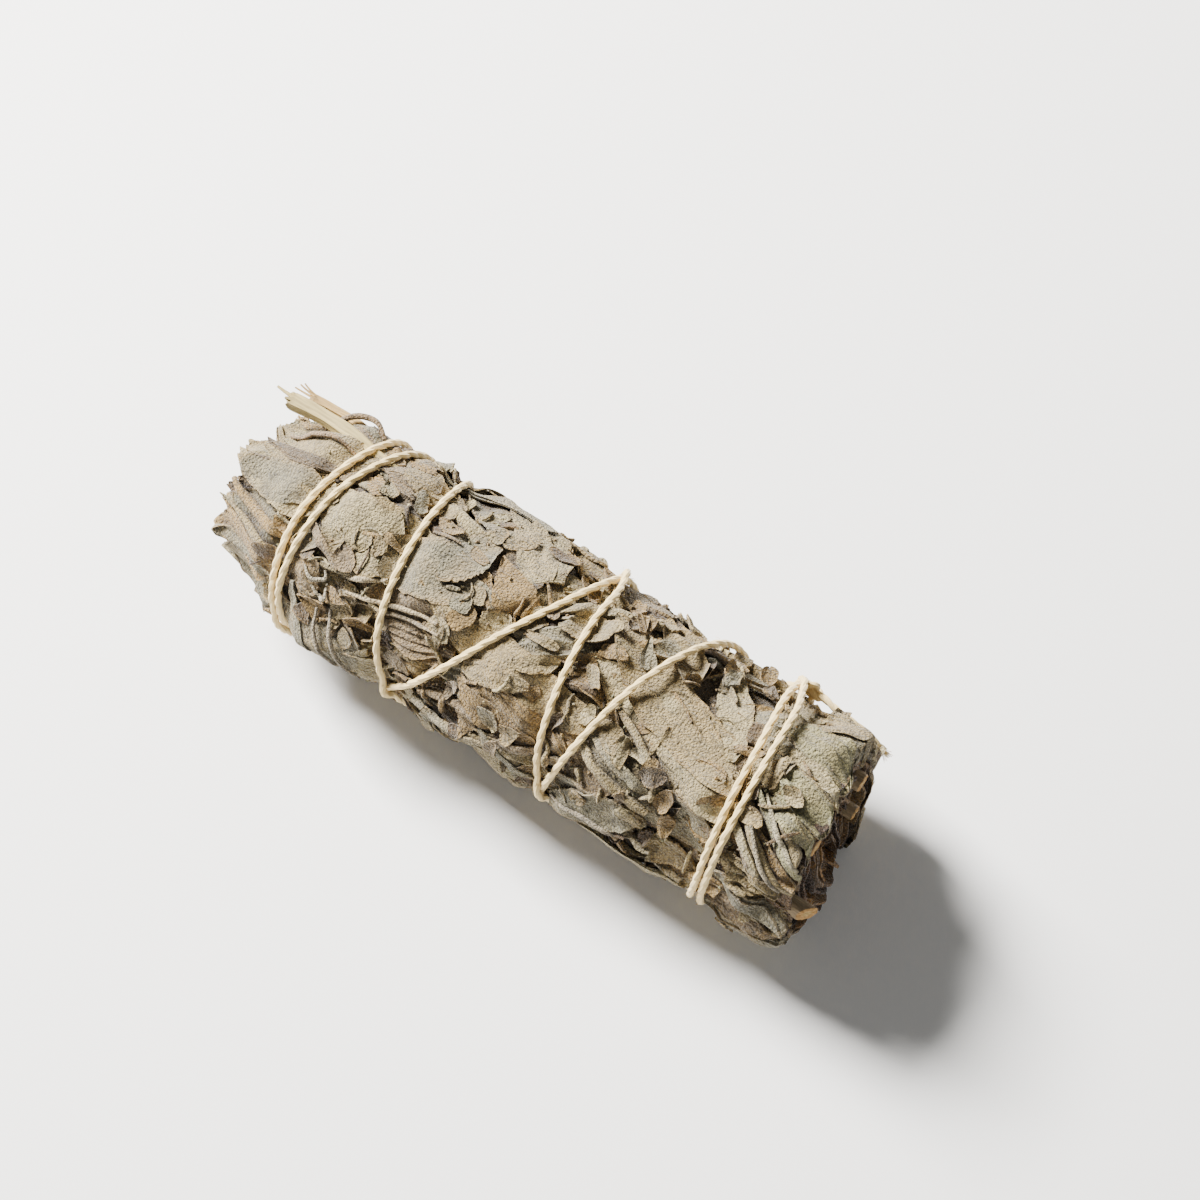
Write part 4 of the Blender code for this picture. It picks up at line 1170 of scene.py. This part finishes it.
def stem_shape(index, angle, away, radius):
    """Points, faces and colours of one stem. Its last rings are the cut, with a pith inside."""
    centre_y = away * math.cos(math.radians(angle))
    centre_z = AXIS_HEIGHT + away * math.sin(math.radians(angle))
    cut = float(cut_end(angle)) + 0.2 + 0.5 * (index % 3)
    rings = ((-20.0, 0.55), (5.0, 0.75), (30.0, 0.9), (44.0, 0.97), (cut - 0.12, 1.0))
    rings += ((cut, 0.93), (cut + 0.01, 0.55), (cut - 0.05, 0.22), (cut - 0.10, 0.05))
    points = []
    colours = []
    for number, (x, share) in enumerate(rings):
        if number < BARK_RINGS:
            colour = BARK_COLOUR
        elif number < len(rings) - 2:
            colour = WOOD_COLOUR
        else:
            colour = PITH_COLOUR
        for i in range(STEM_SIDES):
            turn = 2 * math.pi * i / STEM_SIDES
            out = radius * share * (1 + 0.05 * math.cos(4 * turn + index) * (number < 6))
            rough = 0.05 * math.sin(7 * turn + index) if number > 4 else 0.0
            if number > 3 and index == SHOWN_STEM:
                rough += 0.4 - 1.1 * share * math.cos(turn - math.radians(angle))
            y = centre_y + out * math.cos(turn)
            z = centre_z + out * math.sin(turn)
            points.append((x + rough, y, z))
            colours.append(colour)
    faces = []
    for ring in range(len(rings) - 1):
        for i in range(STEM_SIDES):
            a = ring * STEM_SIDES + i
            b = ring * STEM_SIDES + (i + 1) % STEM_SIDES
            faces.append((a, a + STEM_SIDES, b + STEM_SIDES, b))
    faces.append(tuple(range(STEM_SIDES)))
    last = (len(rings) - 1) * STEM_SIDES
    faces.append(tuple(reversed(range(last, last + STEM_SIDES))))
    return in_metres(points), faces, np.array(colours)


stem_material = fibrous("sage_stem", 0.8, 0.12, 0.35, 0.00030)
for index, (angle, away, radius) in enumerate(STEMS):
    node = "sprig_%d_stem" % (index + 1)
    points, faces, colours = stem_shape(index, angle, away, radius)
    stem = build_mesh(node + "_fine", points, faces, colours, stem_material)
    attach(stem, "root")
    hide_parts(node)

# The bare stalks.
# Two stalks that lost their leaves are tucked under the string at the tips and stick out past
# them. They are straw-like and ribbed, and their broken ends are split into splinters.
# Each is its node, the x and angle of its root and tip, how deep both lie, radius and colour.
STALKS = (
    ("stalk_1", (-33.5, 54), (-56.0, 53), (1.5, 0.1), 1.35, (0.49, 0.385, 0.17)),
    ("stalk_2", (-36.0, 38), (-55.0, 31), (1.3, 0.4), 0.85, (0.40, 0.26, 0.095)),
)
STALK_SIDES = 26
STALK_STEPS = 40
SPLINTER_COUNT = 5
SPLINTER_SIDES = 6
SPLINTER_POINTS = 7


def stalk_line(root, tip, depths, radius):
    """The middle of a stalk, bent a little out of its straight way."""
    line = []
    for share in np.linspace(0, 1, STALK_STEPS):
        x = root[0] + share * (tip[0] - root[0])
        angle = root[1] + share * (tip[1] - root[1]) + 2.0 * math.sin(5 * share + radius)
        depth = depths[0] + share * (depths[1] - depths[0])
        away = BUNDLE_RADIUS + BUNDLE_TAPER * x - depth + 0.8 * math.sin(math.pi * share)
        turn = math.radians(angle)
        line.append((x, away * math.cos(turn), AXIS_HEIGHT + away * math.sin(turn)))
    return np.array(line)


def stalk_body(line, ahead, radius, colour):
    """Points, faces and colours of a ribbed stalk with a jagged end, streaked along its length."""
    points = []
    faces = []
    thick = radius * (1 + 0.07 * np.sin(np.arange(STALK_STEPS) * 0.35 + radius))
    add_tube(points, faces, line, thick, STALK_SIDES)
    middles = np.repeat(line, STALK_SIDES, axis=0)
    turned = np.tile(np.arange(STALK_SIDES), STALK_STEPS) * 2 * math.pi / STALK_SIDES
    along = np.repeat(np.linspace(0, 1, STALK_STEPS), STALK_SIDES)
    ribs = 1 + 0.06 * np.cos(5 * turned + 2 * along) + 0.05 * np.cos(9 * turned + 1.5)
    points = middles + (np.array(points) - middles) * ribs[:, None]
    jagged = several(chance, -2.2, 1.4, STALK_SIDES)
    jagged = 0.5 * jagged + 0.25 * np.roll(jagged, 1) + 0.25 * np.roll(jagged, -1)
    points[-STALK_SIDES:] += jagged[:, None] * ahead[None, :]
    streak = 0.84 + 0.10 * np.cos(5 * turned + 2 * along) + 0.10 * np.sin(11 * turned)
    streak = streak * (1 - 0.35 * smooth((along - 0.93) / 0.07))
    return points, faces, np.array(colour)[None, :] * streak[:, None]


def stalk_splinters(end, ahead, radius):
    """Thin slivers that stand out of a stalk's broken end."""
    points = []
    faces = []
    thick = 0.30 * radius * np.linspace(1, 0.5, SPLINTER_POINTS)
    for _ in range(SPLINTER_COUNT):
        lean = several(chance, -0.3, 0.3, 3)
        base = end + 0.7 * radius * lean / (np.linalg.norm(lean) + 0.01) - 1.5 * ahead
        reach = chance.uniform(2.0, 3.4)
        share = np.linspace(0, 1, SPLINTER_POINTS)
        sliver = [base + ahead * reach * t + lean * reach * t * t for t in share]
        add_tube(points, faces, np.array(sliver), thick, SPLINTER_SIDES)
    return np.array(points), faces


stalk_material = fibrous("peeled_stalk", 0.7, 0.06, 0.28, 0.00022)
for node, root, tip, depths, radius, colour in STALKS:
    line = stalk_line(root, tip, depths, radius)
    ahead = line[-1] - line[-4]
    ahead = ahead / np.linalg.norm(ahead)
    points, faces, colours = stalk_body(line, ahead, radius, colour)
    slivers, sliver_faces = stalk_splinters(line[-1], ahead, radius)
    faces += [tuple(i + len(points) for i in face) for face in sliver_faces]
    points = in_metres(np.concatenate([points, slivers]))
    sliver_colours = np.tile(np.array(colour) * 0.95, (len(slivers), 1))
    colours = np.concatenate([colours, sliver_colours])
    stalk = build_mesh(node + "_fine", points, faces, colours, stalk_material)
    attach(stalk, "root")
    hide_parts(node)

# The table and the light.
# A plain pale table under a large soft window from the upper left of the view, with a weak fill
# from the near side.
TABLE_REACH = 2
TABLE_COLOUR = (0.88, 0.88, 0.87, 1)
ROOM_COLOUR = (1.0, 0.99, 0.97, 1)
ROOM_STRENGTH = 0.14
floor_mesh = bpy.data.meshes.new("table")
floor_corners = ((-1, -1), (1, -1), (1, 1), (-1, 1))
floor_mesh.from_pydata(
    [(TABLE_REACH * x, TABLE_REACH * y, 0) for x, y in floor_corners], [], [(0, 1, 2, 3)]
)
floor = bpy.data.objects.new("table", floor_mesh)
bpy.context.scene.collection.objects.link(floor)
floor_material = bpy.data.materials.new("table")
floor_material.use_nodes = True
floor_surface = floor_material.node_tree.nodes["Principled BSDF"]
floor_surface.inputs["Base Color"].default_value = TABLE_COLOUR
floor_surface.inputs["Roughness"].default_value = 0.9
floor_mesh.materials.append(floor_material)

world = bpy.data.worlds.new("room")
bpy.context.scene.world = world
world.use_nodes = True
world.node_tree.nodes["Background"].inputs["Color"].default_value = ROOM_COLOUR
world.node_tree.nodes["Background"].inputs["Strength"].default_value = ROOM_STRENGTH


def soft_light(name, place, size, power, colour):
    lamp = bpy.data.lights.new(name, "AREA")
    lamp.size = size
    lamp.energy = power
    lamp.color = colour
    holder = bpy.data.objects.new(name, lamp)
    holder.location = place
    holder.rotation_mode = "QUATERNION"
    aim = Vector((0, 0, 0.015)) - Vector(place)
    holder.rotation_quaternion = aim.to_track_quat("-Z", "Y")
    bpy.context.scene.collection.objects.link(holder)


soft_light("window", (-0.70, 0.12, 0.64), 0.33, 62.0, (1.0, 0.975, 0.94))
soft_light("fill", (0.5, -0.6, 0.6), 0.9, 1.6, (1.0, 0.99, 0.98))

# The camera stands where the photo was taken from, high over the near side of the cut end.
# It looks a little past the bundle's middle, which puts the bundle where the photo has it.
AZIMUTH = math.radians(34.6)
ELEVATION = math.radians(66.3)
DISTANCE = 0.45
AIM_RIGHT = 0.0074
AIM_UP = 0.01015
SENSOR_WIDTH = 36
LENS = 87.8
camera_data = bpy.data.cameras.new("camera")
camera_data.sensor_width = SENSOR_WIDTH
camera_data.lens = LENS
camera = bpy.data.objects.new("camera", camera_data)
bpy.context.scene.collection.objects.link(camera)
bpy.context.scene.camera = camera
toward = Vector(
    (
        math.sin(AZIMUTH) * math.cos(ELEVATION),
        -math.cos(AZIMUTH) * math.cos(ELEVATION),
        math.sin(ELEVATION),
    )
)
rightward = Vector((math.cos(AZIMUTH), math.sin(AZIMUTH), 0))
upward = toward.cross(rightward)
aim = Vector((MIDDLE[0], MIDDLE[1], AXIS_HEIGHT)) / 1000 + AIM_RIGHT * rightward + AIM_UP * upward
camera.location = aim + toward * DISTANCE
camera.rotation_mode = "QUATERNION"
camera.rotation_quaternion = (-toward).to_track_quat("-Z", "Y")
